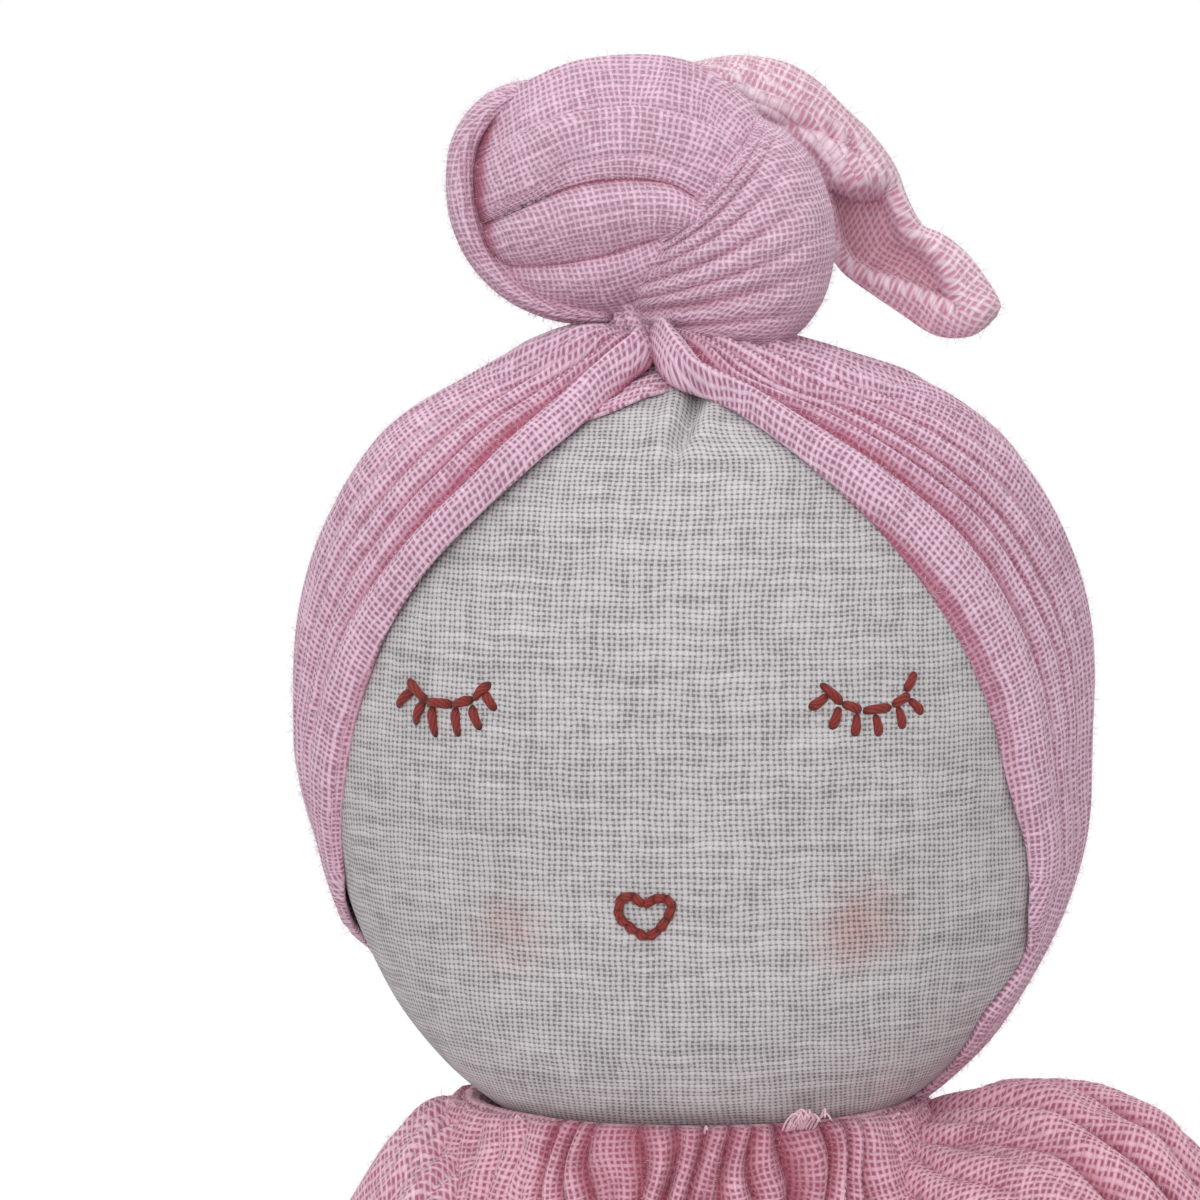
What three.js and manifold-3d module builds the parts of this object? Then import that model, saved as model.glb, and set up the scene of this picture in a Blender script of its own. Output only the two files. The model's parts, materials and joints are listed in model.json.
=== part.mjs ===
// A seated rag rattle doll: a stuffed linen head with a muslin head wrap tied in a top knot,
// a muslin dress gathered at the neck, stuffed linen limbs, and a rattle capsule in the belly.
// Millimetres, +Z up. The doll sits on z = 0 and faces -Y, so its left side is +X.
import * as THREE from "three";
import { mergeVertices } from "three/addons/utils/BufferGeometryUtils.js";
import Module from "manifold-3d";

const wasm = await Module();
wasm.setup();

// Cloth and clearances
const LINEN = 0.8; // linen panel with its seam allowance
const MUSLIN = 1.4; // double muslin, laid in folds
const FIT = 0.4; // clearance between sewn neighbours
const SEAM_GAP = 0.5; // gap between two panels at a seam
const COVER_FIT = 0.8; // clearance of a cloth lying over a rounded form

// Head
const HEAD_WIDTH = 76;
const HEAD_DEPTH = 67;
const HEAD_UP = 37.5; // middle of the head to its crown
const HEAD_DOWN = 43.5; // middle of the head to the point its underside would close at
const HEAD_FULLNESS = 2.4; // 2 is an ellipse, more is squarer
const NECK_SEAM = 42; // flat neck seam, below the middle of the head
const FACE_SEAM_ANGLE = 100; // degrees from the front to the seam behind each ear

// Heights above the seat
const SHOULDER_Z = 58; // axis of the shoulders, where the neck bends too
const NECKLINE_RISE = 24.5; // from there to the top edge of the gathered neckline
const HEAD_RISE = 63; // from there to the middle of the head
const NECKLINE_Z = SHOULDER_Z + NECKLINE_RISE;
const HEAD_Z = SHOULDER_Z + HEAD_RISE;

// Head wrap
const WRAP_TOP = 37.25; // above the middle of the head
const WRAP_BOTTOM = -35;
const WRAP_PARTING = 33; // where its two front edges meet under the knot
const WRAP_FOLDS = 5; // main folds on each side
const WRAP_FOLD_DEPTH = 1.6;
const WRAP_EDGE_TOP_ANGLE = 14; // degrees from the front at the knot
const WRAP_EDGE_LOW_ANGLE = 95; // degrees from the front at the neck

// Top knot, in the head's frame
const KNOT_LEFT_AT = new THREE.Vector3(-9.3, -4.5, 52.9);
const KNOT_LEFT_SIZE = new THREE.Vector3(14.6, 12, 12.6);
const KNOT_RIGHT_AT = new THREE.Vector3(4.2, -5, 51.4);
const KNOT_RIGHT_SIZE = new THREE.Vector3(10.2, 12, 11.2);
const KNOT_FOLDS = 4;
const KNOT_FOLD_DEPTH = 0.12; // share of the lobe's radius
const TAIL_WIDTH = 15;
const TAIL_THICKNESS = 2.6;
const TAIL_ROUTE = [
  [1.5, 5.4, 56],
  [4.5, 9.4, 62],
  [10, 11.5, 64.6],
  [16.5, 13, 59.5],
  [22.5, 14, 50.5],
  [29.3, 14.5, 42],
];

// Embroidery thread on the face
const THREAD = 1;
const EYE_ANGLE = 32.6; // degrees from the front
const EYE_Z = 3.3; // lowest point of the closed lid, above the middle of the head
const EYE_WIDTH = 5.8;
const EYE_RISE = 2.2; // lid corners above its lowest point
const LASHES = 6;
const LASH_LENGTH = 2.7;
const LASH_FAN = 56; // degrees that the end lashes lean out
const MOUTH_Z = -16.7;
const MOUTH_WIDTH = 5.4;
const MOUTH_HEIGHT = 4.6;
const MOUTH_STITCHES = 10;

// Neck
const NECK_RADIUS = 10.5;
const NECK_SIDES = 16;
const NOD = 15; // degrees that the neck bends forwards and back
const NECKLINE_RADIUS = 24;
const NECKLINE_SCALLOPS = 14;
const NECKLINE_SCALLOP_DEPTH = 0.7;
const NECKLINE_ROLL = 2.4; // rounding of its top edge
const NECK_HOLE_RADIUS = 22; // hole in the dress that the head nods in

// Torso
const TORSO_HALF_WIDTH = 20;
const TORSO_HALF_DEPTH = 17;
const TORSO_WIDEST_Z = 30;
const TORSO_TOP_Z = 70;
const TORSO_FULLNESS = 2.4;
const TORSO_BELOW = 62; // below its widest height, the point its underside would close at

// Rattle capsule and its beads
const RATTLE_Z = 30;
const RATTLE_RADIUS = 12;
const RATTLE_WALL = 1.5;
const RATTLE_LIP = 2; // height of the lap between the two shells
const BEAD_RADIUS = 2.5;
const BEAD_RING_RADIUS = 5.5;
const BEADS_IN_RING = 4;
const BEAD_REST_GAP = 0.5;

// Dress
const SHOULDER_HALF = 30; // half the width over the shoulders
const SHOULDER_ROUND = 27; // radius of the shoulders about their own axis
const DRESS_FULLNESS = 2.6;
const HEM_Z = 0.5;
const HEM_HALF_WIDTH = 46;
const HEM_FRONT = 55;
const HEM_BACK = 43;
const UNDERARM_TUCK = 11.5; // how far the sides draw in under the arms
const DRESS_FOLDS = 9;
const DRESS_WAVES = 5; // slower waves that make the folds uneven
const DRESS_FOLD_DEPTH = 3;

// Arms and sleeves
const ARM_RADIUS = 6.4;
const WRIST_RADIUS = 5.6;
const HAND_RADIUS = 6.6;
const ARM_OUT = 34; // where the arm turns down from the shoulder axis
const ARM_LENGTH = 52; // from that turn to the fingertips
const SLEEVE_LENGTH = 38;
const SLEEVE_RADIUS = 10;
const CUFF_RADIUS = 9.4;
const PUFF_FOOT = 16.4; // radius of the puff where it meets the shoulder
const PUFF_START = 26; // that place, out along the shoulder axis
const SLEEVE_FIT = 1.2; // sleeve to the shoulder it swings over
const LEFT_PUFF_END = 53; // out along the shoulder axis
const LEFT_PUFF_RADIUS = 25;
const LEFT_SPLAY = 56; // degrees out from straight down
const RIGHT_PUFF_END = 40;
const RIGHT_PUFF_RADIUS = 20.5;
const RIGHT_SPLAY = 27;
const LEFT_ARM = { side: 1, splay: LEFT_SPLAY, puffEnd: LEFT_PUFF_END, puffRadius: LEFT_PUFF_RADIUS };
const RIGHT_ARM = { side: -1, splay: RIGHT_SPLAY, puffEnd: RIGHT_PUFF_END, puffRadius: RIGHT_PUFF_RADIUS };

// Legs
const HIP_X = 12;
const HIP_Y = -12;
const HIP_RADIUS = 10.8;
const ANKLE_RADIUS = 7.6;
const LEG_LENGTH = 70; // hip to ankle
const LEG_CLEAR = 0.5; // above the seat
const FOOT_HALF_LENGTH = 12.5;
const FOOT_HALF_THICKNESS = 7;
const TUNNEL_CLEARANCE = 0.8; // dress to leg
const TUNNEL_MIDDLE_Z = 15; // hem height between the legs

const { degToRad, lerp, smoothstep } = THREE.MathUtils;
const vector = (x, y, z) => new THREE.Vector3(x, y, z);
const steps = (n) => Array.from({ length: n }, (_, i) => i);
const turn = (n) => steps(n).map((i) => (2 * Math.PI * i) / n);

// Solids: closed geometry in and out of the boolean library

function solid(geometry) {
  const bare = geometry.clone();
  bare.deleteAttribute("normal");
  bare.deleteAttribute("uv");
  const merged = mergeVertices(bare, 1e-4);
  const make = (triVerts) =>
    new wasm.Manifold(
      new wasm.Mesh({ numProp: 3, vertProperties: merged.attributes.position.array, triVerts }),
    );
  const made = make(new Uint32Array(merged.index.array));
  return made.volume() < 0 ? make(new Uint32Array(merged.index.array).reverse()) : made;
}

function geometryOf(body) {
  const mesh = body.getMesh();
  const geometry = new THREE.BufferGeometry();
  geometry.setAttribute("position", new THREE.BufferAttribute(mesh.vertProperties, 3));
  geometry.setIndex(new THREE.BufferAttribute(mesh.triVerts, 1));
  geometry.computeVertexNormals();
  return geometry;
}

// A surface through equal rings of points. A tube is capped at both ends,
// and a loop joins its last ring to its first.
function loft(rings, { loop = false } = {}) {
  const count = rings[0].length;
  const points = rings.flat();
  const index = [];
  const bands = loop ? rings.length : rings.length - 1;
  for (let band = 0; band < bands; band++) {
    const low = band * count;
    const high = ((band + 1) % rings.length) * count;
    for (let i = 0; i < count; i++) {
      const next = (i + 1) % count;
      index.push(low + i, low + next, high + next, low + i, high + next, high + i);
    }
  }
  const cap = (start, flipped) => {
    const ring = points.slice(start, start + count);
    const middle = ring.reduce((sum, p) => sum.add(p), vector(0, 0, 0)).divideScalar(count);
    points.push(middle);
    for (let i = 0; i < count; i++) {
      const next = (i + 1) % count;
      const [a, b] = flipped ? [next, i] : [i, next];
      index.push(start + a, start + b, points.length - 1);
    }
  };
  if (!loop) {
    cap(0, true);
    cap((rings.length - 1) * count, false);
  }
  return new THREE.BufferGeometry().setFromPoints(points).setIndex(index);
}

// A cloth panel between an outer and an inner face, each a function of across and down from 0 to 1.
function panel(outer, inner, acrossSteps, downSteps) {
  const loops = steps(downSteps + 1).map((row) => {
    const down = row / downSteps;
    const out = steps(acrossSteps + 1).map((i) => outer(i / acrossSteps, down));
    const back = steps(acrossSteps + 1).map((i) => inner(1 - i / acrossSteps, down));
    return [...out, ...back];
  });
  const count = loops[0].length;
  const index = [];
  for (let row = 0; row < downSteps; row++) {
    for (let i = 0; i < count; i++) {
      const next = (i + 1) % count;
      const [low, high] = [row * count, (row + 1) * count];
      index.push(low + i, low + next, high + next, low + i, high + next, high + i);
    }
  }
  const edge = (start, flipped) => {
    for (let i = 0; i < acrossSteps; i++) {
      const corners = [i, i + 1, count - 2 - i, count - 1 - i].map((k) => start + k);
      const [a, b, c, d] = flipped ? corners.reverse() : corners;
      index.push(a, b, c, a, c, d);
    }
  };
  edge(0, true);
  edge(downSteps * count, false);
  return new THREE.BufferGeometry().setFromPoints(loops.flat()).setIndex(index);
}

// A tube that swells and tapers along a curve, with radius(share) giving [across, thick].
function limb(curve, radius, sides, alongSteps, sideways) {
  const rings = steps(alongSteps + 1).map((k) => {
    const share = k / alongSteps;
    const at = curve.getPointAt(share);
    const along = curve.getTangentAt(share);
    const across = sideways.clone().addScaledVector(along, -sideways.dot(along)).normalize();
    const up = along.clone().cross(across);
    const [wide, thick] = radius(share);
    return turn(sides).map((a) =>
      at.clone().addScaledVector(across, wide * Math.cos(a)).addScaledVector(up, thick * Math.sin(a)),
    );
  });
  return loft(rings);
}

const moved = (geometry, x, y, z) => geometry.clone().translate(x, y, z);
const sphere = (radius, at, across = 14, down = 9) =>
  moved(new THREE.SphereGeometry(radius, across, down), at.x, at.y, at.z);
const box = (low, high) => {
  const size = high.clone().sub(low);
  const middle = low.clone().add(high).multiplyScalar(0.5);
  return moved(new THREE.BoxGeometry(size.x, size.y, size.z), middle.x, middle.y, middle.z);
};

// Head: one stuffed form, whose skin, wrap and embroidery all lie on the same surface

// Half-width and height on the head's outline, from the crown at 0 to the underside at 1.
function headOutline(down, grow = 0) {
  const angle = Math.PI * down;
  const bend = 2 / HEAD_FULLNESS;
  const reach = angle < Math.PI / 2 ? HEAD_UP : HEAD_DOWN;
  return {
    half: (HEAD_WIDTH / 2 + grow) * Math.sin(angle) ** bend,
    z: (reach + grow) * Math.sign(Math.cos(angle)) * Math.abs(Math.cos(angle)) ** bend,
  };
}

// Where on that outline, from 0 to 1, the head is at a height above its middle.
function headShare(z, grow = 0) {
  const reach = (z > 0 ? HEAD_UP : HEAD_DOWN) + grow;
  const cosine = Math.sign(z) * (Math.abs(z) / reach) ** (HEAD_FULLNESS / 2);
  return Math.acos(cosine) / Math.PI;
}

// The head is shallower than it is wide, and round at the neck.
function headPoint(angle, down, grow = 0) {
  const { half, z } = headOutline(down, grow);
  const depth = lerp(HEAD_DEPTH / HEAD_WIDTH, 1, smoothstep(-z, 0.4 * NECK_SEAM, 0.95 * NECK_SEAM));
  return vector(half * Math.sin(angle), -half * depth * Math.cos(angle), z);
}

const SEAM_SHARE = headShare(-NECK_SEAM);
const CROWN_SHARE = headShare(WRAP_TOP);
const HEAD_ROWS = 10;
const SEAM_ANGLE = degToRad(FACE_SEAM_ANGLE);
const FACE = { from: -SEAM_ANGLE, to: SEAM_ANGLE, strips: 15 };
const BACK = { from: SEAM_ANGLE, to: 2 * Math.PI - SEAM_ANGLE, strips: 12 };

const headRow = (row) => lerp(CROWN_SHARE, SEAM_SHARE, row / HEAD_ROWS);
const stripAngles = ({ from, to, strips }) => steps(strips + 1).map((i) => lerp(from, to, i / strips));

function headStuffing() {
  const angles = [...stripAngles(FACE), ...stripAngles(BACK).slice(1, -1)];
  const rings = steps(HEAD_ROWS + 1).map((row) =>
    angles.map((angle) => headPoint(angle, headRow(row), -LINEN - FIT)),
  );
  return loft(rings.reverse());
}

// A linen panel of the head between two angles round it.
function headPanel({ from, to, strips }) {
  const face = (grow) => (across, down) => {
    const share = headRow(down * HEAD_ROWS);
    const inset = SEAM_GAP / 2 / headOutline(share).half;
    return headPoint(lerp(from + inset, to - inset, across), share, grow);
  };
  return panel(face(0), face(-LINEN), strips, HEAD_ROWS);
}

// The wrap's front edge sweeps from the knot down to behind the cheeks.
function wrapEdge(z) {
  const fall = Math.max(0, (WRAP_PARTING - z) / (WRAP_PARTING - WRAP_BOTTOM));
  return degToRad(lerp(WRAP_EDGE_TOP_ANGLE, WRAP_EDGE_LOW_ANGLE, fall ** 0.88));
}

// Folds run from the knot round both sides of the head and fade towards the neck.
function wrapFold(across, down) {
  const fromEdge = Math.abs(2 * across - 1);
  const ridge = Math.cos(Math.PI * WRAP_FOLDS * (1 - fromEdge)) ** 2;
  return WRAP_FOLD_DEPTH * ridge * smoothstep(down, 0, 0.15) * (1 - 0.7 * down);
}

function headWrap() {
  const face = (grow) => (across, down) => {
    const share = lerp(CROWN_SHARE, headShare(WRAP_BOTTOM), down);
    const edge = wrapEdge(headOutline(share).z);
    return headPoint(lerp(edge, 2 * Math.PI - edge, across), share, grow(across, down));
  };
  const outer = face((across, down) => COVER_FIT + MUSLIN + wrapFold(across, down));
  return panel(outer, face(() => COVER_FIT), 30, 10);
}

// Knot: two wrapped lobes of the tied ends, the right one crossing over the left

// A lobe with folds round its axis, swollen by grow.
function knotLobe(at, size, axis, phase, grow = 0) {
  const geometry = new THREE.SphereGeometry(1, 20, 15);
  const turned = new THREE.Quaternion().setFromUnitVectors(vector(0, 1, 0), axis.clone().normalize());
  const place = geometry.getAttribute("position");
  for (let i = 0; i < place.count; i++) {
    const way = vector(0, 0, 0).fromBufferAttribute(place, i);
    const ridge = Math.abs(Math.sin(KNOT_FOLDS * Math.acos(way.y) + phase));
    const swell = 1 - KNOT_FOLD_DEPTH * (1 - ridge) * Math.hypot(way.x, way.z);
    way.applyQuaternion(turned);
    place.setXYZ(
      i,
      at.x + way.x * (size.x * swell + grow),
      at.y + way.y * (size.y * swell + grow),
      at.z + way.z * (size.z * swell + grow),
    );
  }
  return geometry;
}

const knotRight = (grow) => knotLobe(KNOT_RIGHT_AT, KNOT_RIGHT_SIZE, vector(0.9, 0.2, 0.45), 0.6, grow);
const knotLeft = (grow) => knotLobe(KNOT_LEFT_AT, KNOT_LEFT_SIZE, vector(-0.25, 0.1, 1), 0, grow);

// The loose end of the cloth, a folded leaf that hangs over behind the knot.
function knotTail() {
  const route = new THREE.CatmullRomCurve3(TAIL_ROUTE.map((p) => vector(...p)));
  const leaf = (share) => {
    const width = Math.sin(Math.PI * lerp(0.16, 0.97, share ** 0.9));
    const blunt = Math.min(1, 0.55 + 3 * share, 0.35 + 4 * (1 - share));
    return [(TAIL_WIDTH / 2) * width * blunt, (TAIL_THICKNESS / 2) * blunt];
  };
  return limb(route, leaf, 12, 14, vector(0.35, 0.75, 0.3));
}

// Embroidery: straight stitches joined end to end, lying on the face

function onFace(x, z) {
  const down = headShare(z);
  const { half } = headOutline(down);
  return headPoint(Math.asin(x / half), down, FIT + THREAD / 2);
}

function stitch([fromX, fromZ], [toX, toZ]) {
  const from = onFace(fromX, fromZ);
  const way = onFace(toX, toZ).sub(from);
  const geometry = new THREE.CylinderGeometry(THREAD / 2, THREAD / 2, way.length() + THREAD / 2, 4);
  const turned = new THREE.Quaternion().setFromUnitVectors(vector(0, 1, 0), way.clone().normalize());
  geometry.applyQuaternion(turned);
  const middle = from.addScaledVector(way, 0.5);
  return solid(moved(geometry, middle.x, middle.y, middle.z));
}

const joined = (bodies) => bodies.reduce((all, body) => all.add(body));

// A closed eye: the lid sags between its corners, and the lashes fan out below it.
function eyeStitches(side) {
  const middle = side * (HEAD_WIDTH / 2) * Math.sin(degToRad(EYE_ANGLE));
  const lid = (share) => {
    const along = 2 * share - 1;
    return [middle + (along * EYE_WIDTH) / 2, EYE_Z + EYE_RISE * along ** 2];
  };
  const lidStitches = steps(4).map((i) => stitch(lid(i / 4), lid((i + 1) / 4)));
  const lashes = steps(LASHES).map((i) => {
    const share = i / (LASHES - 1);
    const root = lid(share);
    const lean = degToRad(LASH_FAN * (2 * share - 1));
    const tip = [root[0] + LASH_LENGTH * Math.sin(lean), root[1] - LASH_LENGTH * Math.cos(lean)];
    return stitch(root, tip);
  });
  return joined([...lidStitches, ...lashes]);
}

// A small heart: two round lobes drawn down to a point.
function mouthStitches() {
  const heart = (share) => {
    const a = 2 * Math.PI * share;
    const across = Math.sin(a) ** 3;
    const up = (13 * Math.cos(a) - 5 * Math.cos(2 * a) - 2 * Math.cos(3 * a) - Math.cos(4 * a)) / 16;
    return [(MOUTH_WIDTH / 2) * across, MOUTH_Z + (MOUTH_HEIGHT / 1.8) * (up + 0.15)];
  };
  const count = MOUTH_STITCHES;
  return joined(steps(count).map((i) => stitch(heart(i / count), heart((i + 1) / count))));
}

// Dress: round shoulders that turn about the shoulder axis, flaring in folds to the hem

// How far the dress stands from the body's axis at a height and an angle from the front.
function dressReach(z, angle, grow = 0) {
  const [side, front] = [Math.abs(Math.sin(angle)), Math.abs(Math.cos(angle))];
  const n = DRESS_FULLNESS;
  if (z >= SHOULDER_Z) {
    let [near, far] = [0, SHOULDER_HALF + SHOULDER_ROUND];
    for (let i = 0; i < 40; i++) {
      const reach = (near + far) / 2;
      const aside = (reach * side) / (SHOULDER_HALF + grow);
      const about = Math.hypot(reach * front, z - SHOULDER_Z) / (SHOULDER_ROUND + grow);
      if (aside ** n + about ** n > 1) far = reach;
      else near = reach;
    }
    return near;
  }
  const fall = (SHOULDER_Z - z) / (SHOULDER_Z - HEM_Z);
  const tuck = UNDERARM_TUCK * Math.sin(Math.PI * Math.min(1, fall)) * (1 - Math.min(1, fall));
  const halfWidth = lerp(SHOULDER_HALF, HEM_HALF_WIDTH, fall ** 2) - tuck + grow;
  const hem = Math.cos(angle) > 0 ? HEM_FRONT : HEM_BACK;
  const halfDepth = lerp(SHOULDER_ROUND, hem, fall ** 1.25) + grow;
  const plain = ((side / halfWidth) ** n + (front / halfDepth) ** n) ** (-1 / n);
  const fold = 0.6 * Math.cos(DRESS_FOLDS * angle) + 0.4 * Math.cos(DRESS_WAVES * angle + 0.7);
  return plain + DRESS_FOLD_DEPTH * fold * smoothstep(fall, 0.15, 1);
}

// The dress as a solid bell, from its hem or below up to the shoulders.
function dressBell(grow, bottom) {
  const skirt = [0.12, 0.31, 0.52, 0.69, 0.81, 0.91, 1].map((share) => share * SHOULDER_Z);
  const shoulder = [0.3, 0.54, 0.72, 0.86, 0.985].map((share) => share * (SHOULDER_ROUND + grow));
  const heights = [bottom, ...skirt.filter((z) => z > bottom), ...shoulder.map((rise) => SHOULDER_Z + rise)];
  const rings = heights.map((z) =>
    turn(42).map((angle) => {
      const reach = dressReach(z, angle, grow);
      return vector(reach * Math.sin(angle), -reach * Math.cos(angle), z);
    }),
  );
  return loft(rings);
}

// A doorway for both legs in the front of the hem, open at the bottom.
function legTunnel() {
  const radius = HIP_RADIUS + TUNNEL_CLEARANCE;
  const axisZ = HIP_RADIUS + LEG_CLEAR;
  const outline = new THREE.Shape();
  outline.moveTo(-HIP_X - radius, -HIP_RADIUS);
  outline.lineTo(HIP_X + radius, -HIP_RADIUS);
  outline.lineTo(HIP_X + radius, axisZ);
  const innerAngle = Math.asin((TUNNEL_MIDDLE_Z - axisZ) / radius);
  outline.absarc(HIP_X, axisZ, radius, 0, Math.PI - innerAngle, false);
  outline.absarc(-HIP_X, axisZ, radius, innerAngle, Math.PI, false);
  outline.closePath();
  const depth = HEM_FRONT + DRESS_FOLD_DEPTH + HIP_RADIUS;
  const geometry = new THREE.ExtrudeGeometry(outline, { depth, bevelEnabled: false, curveSegments: 14 });
  return geometry.rotateX(Math.PI / 2);
}

// A round hole along the shoulder axis for both arms.
function armholes() {
  const through = 2 * (SHOULDER_HALF + SHOULDER_ROUND);
  const radius = ARM_RADIUS + COVER_FIT;
  const geometry = new THREE.CylinderGeometry(radius, radius, through, 16);
  return moved(geometry.rotateZ(Math.PI / 2), 0, 0, SHOULDER_Z);
}

function dressPanels() {
  const neckHole = new THREE.CylinderGeometry(NECK_HOLE_RADIUS, NECK_HOLE_RADIUS, SHOULDER_ROUND, 24);
  neckHole.rotateX(Math.PI / 2).translate(0, 0, SHOULDER_Z + SHOULDER_ROUND);
  const shell = solid(dressBell(0, HEM_Z))
    .subtract(solid(dressBell(-MUSLIN, -HIP_RADIUS)))
    .subtract(solid(neckHole))
    .subtract(solid(armholes()))
    .subtract(solid(legTunnel()));
  const far = 2 * HEM_FRONT;
  const half = (side) =>
    solid(
      side < 0
        ? box(vector(-far, -far, -far), vector(far, -SEAM_GAP / 2, far))
        : box(vector(-far, SEAM_GAP / 2, -far), vector(far, far, far)),
    );
  return { front: shell.intersect(half(-1)), back: shell.intersect(half(1)) };
}

// The gathered top edge of the dress, tied round the neck and resting on the shoulders.
function necklineGather() {
  const low = SHOULDER_Z + SHOULDER_ROUND / 3;
  const profile = [
    [NECK_RADIUS + FIT, low],
    [NECKLINE_RADIUS - 0.4 * NECKLINE_ROLL, low],
    [NECKLINE_RADIUS, NECKLINE_Z - 2 * NECKLINE_ROLL],
    [NECKLINE_RADIUS - 0.33 * NECKLINE_ROLL, NECKLINE_Z - 0.42 * NECKLINE_ROLL],
    [NECKLINE_RADIUS - NECKLINE_ROLL, NECKLINE_Z],
    [NECK_RADIUS + FIT, NECKLINE_Z],
  ];
  const rings = profile.map(([radius, z]) =>
    turn(42).map((angle) => {
      const outside = smoothstep(radius, NECK_RADIUS + FIT, NECKLINE_RADIUS - NECKLINE_ROLL);
      const reach = radius + outside * NECKLINE_SCALLOP_DEPTH * Math.cos(NECKLINE_SCALLOPS * angle);
      return vector(reach * Math.cos(angle), reach * Math.sin(angle), z);
    }),
  );
  // The head turns inside the neckline, so its seat there is round.
  const seatOutline = steps(8).map((k) => {
    const { half, z } = headOutline(lerp(0.55, headShare(-NECK_SEAM), k / 7), FIT);
    return new THREE.Vector2(half, z);
  });
  const seatBottom = new THREE.Vector2(0, seatOutline.at(-1).y);
  const seatTop = new THREE.Vector2(0, seatOutline[0].y);
  const seat = new THREE.LatheGeometry([seatBottom, ...seatOutline.reverse(), seatTop], 28);
  seat.rotateX(Math.PI / 2);
  return solid(loft(rings, { loop: true }))
    .subtract(solid(dressBell(FIT, SHOULDER_Z - 1)))
    .subtract(solid(moved(seat, 0, 0, HEAD_Z)));
}

// Neck: a short stuffed tube with a round lower end that bends in the torso's top

function neck() {
  const top = HEAD_Z - NECK_SEAM - FIT;
  const ball = solid(sphere(NECK_RADIUS, vector(0, 0, SHOULDER_Z), NECK_SIDES, 9));
  const tube = new THREE.CylinderGeometry(NECK_RADIUS, NECK_RADIUS, top - SHOULDER_Z, NECK_SIDES);
  return ball.add(solid(moved(tube.rotateX(Math.PI / 2), 0, 0, (top + SHOULDER_Z) / 2)));
}

// Room for the neck to bend each way by its nod.
function neckSocket() {
  const radius = NECK_RADIUS + FIT;
  const rise = TORSO_TOP_Z - SHOULDER_Z + FIT;
  const spread = radius / Math.cos(degToRad(NOD)) + rise * Math.tan(degToRad(NOD));
  const cone = new THREE.CylinderGeometry(spread + FIT, radius + FIT, rise, NECK_SIDES);
  const ball = solid(sphere(radius + FIT, vector(0, 0, SHOULDER_Z), NECK_SIDES, 9));
  return ball.add(solid(moved(cone.rotateX(Math.PI / 2), 0, 0, SHOULDER_Z + rise / 2)));
}

// Height of the upper shell's middle above the lower shell's.
const RATTLE_RISE = RATTLE_LIP + FIT;

// Torso: front and back linen panels over two wads of stuffing, with the rattle between the wads

function torsoRing(z, grow) {
  const above = z > TORSO_WIDEST_Z;
  const reach = (above ? TORSO_TOP_Z - TORSO_WIDEST_Z : TORSO_BELOW) + grow;
  const share = Math.min(1, Math.abs(z - TORSO_WIDEST_Z) / reach);
  const swell = (1 - share ** TORSO_FULLNESS) ** (1 / TORSO_FULLNESS);
  return turn(24).map((angle) =>
    vector(
      (TORSO_HALF_WIDTH + grow) * swell * Math.sin(angle),
      -(TORSO_HALF_DEPTH + grow) * swell * Math.cos(angle),
      z,
    ),
  );
}

function torsoForm(grow, bottom) {
  const top = TORSO_TOP_Z + grow - 0.3;
  const heights = [0, 0.2, 0.4, 0.6, 0.75, 0.87, 0.95, 1].map((share) => lerp(bottom, top, share));
  return solid(loft(heights.map((z) => torsoRing(z, grow))));
}

// Room for each leg to swing down from its hip.
function hipRoom(side) {
  const radius = HIP_RADIUS + COVER_FIT;
  const axisZ = HIP_RADIUS + LEG_CLEAR;
  const hip = vector(side * HIP_X, HIP_Y, axisZ);
  const forward = new THREE.CylinderGeometry(radius, radius, 3 * radius, 14);
  const down = forward.clone().rotateX(Math.PI / 2);
  return joined([
    solid(sphere(radius, hip)),
    solid(moved(forward, hip.x, hip.y - 1.5 * radius, hip.z)),
    solid(moved(down, hip.x, hip.y, hip.z - 1.5 * radius)),
  ]);
}

function torsoPieces() {
  const room = hipRoom(1).add(hipRoom(-1)).add(neckSocket());
  const far = 2 * TORSO_TOP_Z;
  const halves = {
    front: solid(box(vector(-far, -far, -far), vector(far, -SEAM_GAP / 2, far))),
    back: solid(box(vector(-far, SEAM_GAP / 2, -far), vector(far, far, far))),
  };
  const skinBottom = LINEN + FIT;
  const skin = torsoForm(0, skinBottom).subtract(torsoForm(-LINEN, skinBottom - 1)).subtract(room);
  const capsule = new THREE.CapsuleGeometry(RATTLE_RADIUS + COVER_FIT, RATTLE_RISE, 4, 16);
  const pocket = solid(moved(capsule.rotateX(Math.PI / 2), 0, 0, RATTLE_Z + RATTLE_RISE / 2));
  const fill = torsoForm(-LINEN - FIT, skinBottom).subtract(room).subtract(pocket);
  const floor = solid(loft([torsoRing(LINEN, 0).map((p) => p.setZ(0)), torsoRing(LINEN, 0)]));
  return {
    torso_front_panel: skin.intersect(halves.front),
    torso_back_panel: skin.intersect(halves.back),
    torso_stuffing_front: fill.intersect(halves.front),
    torso_stuffing_back: fill.intersect(halves.back),
    torso_seat_panel: floor.subtract(room),
  };
}

// Rattle: two round shells lapped at the middle, with beads loose inside

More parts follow.
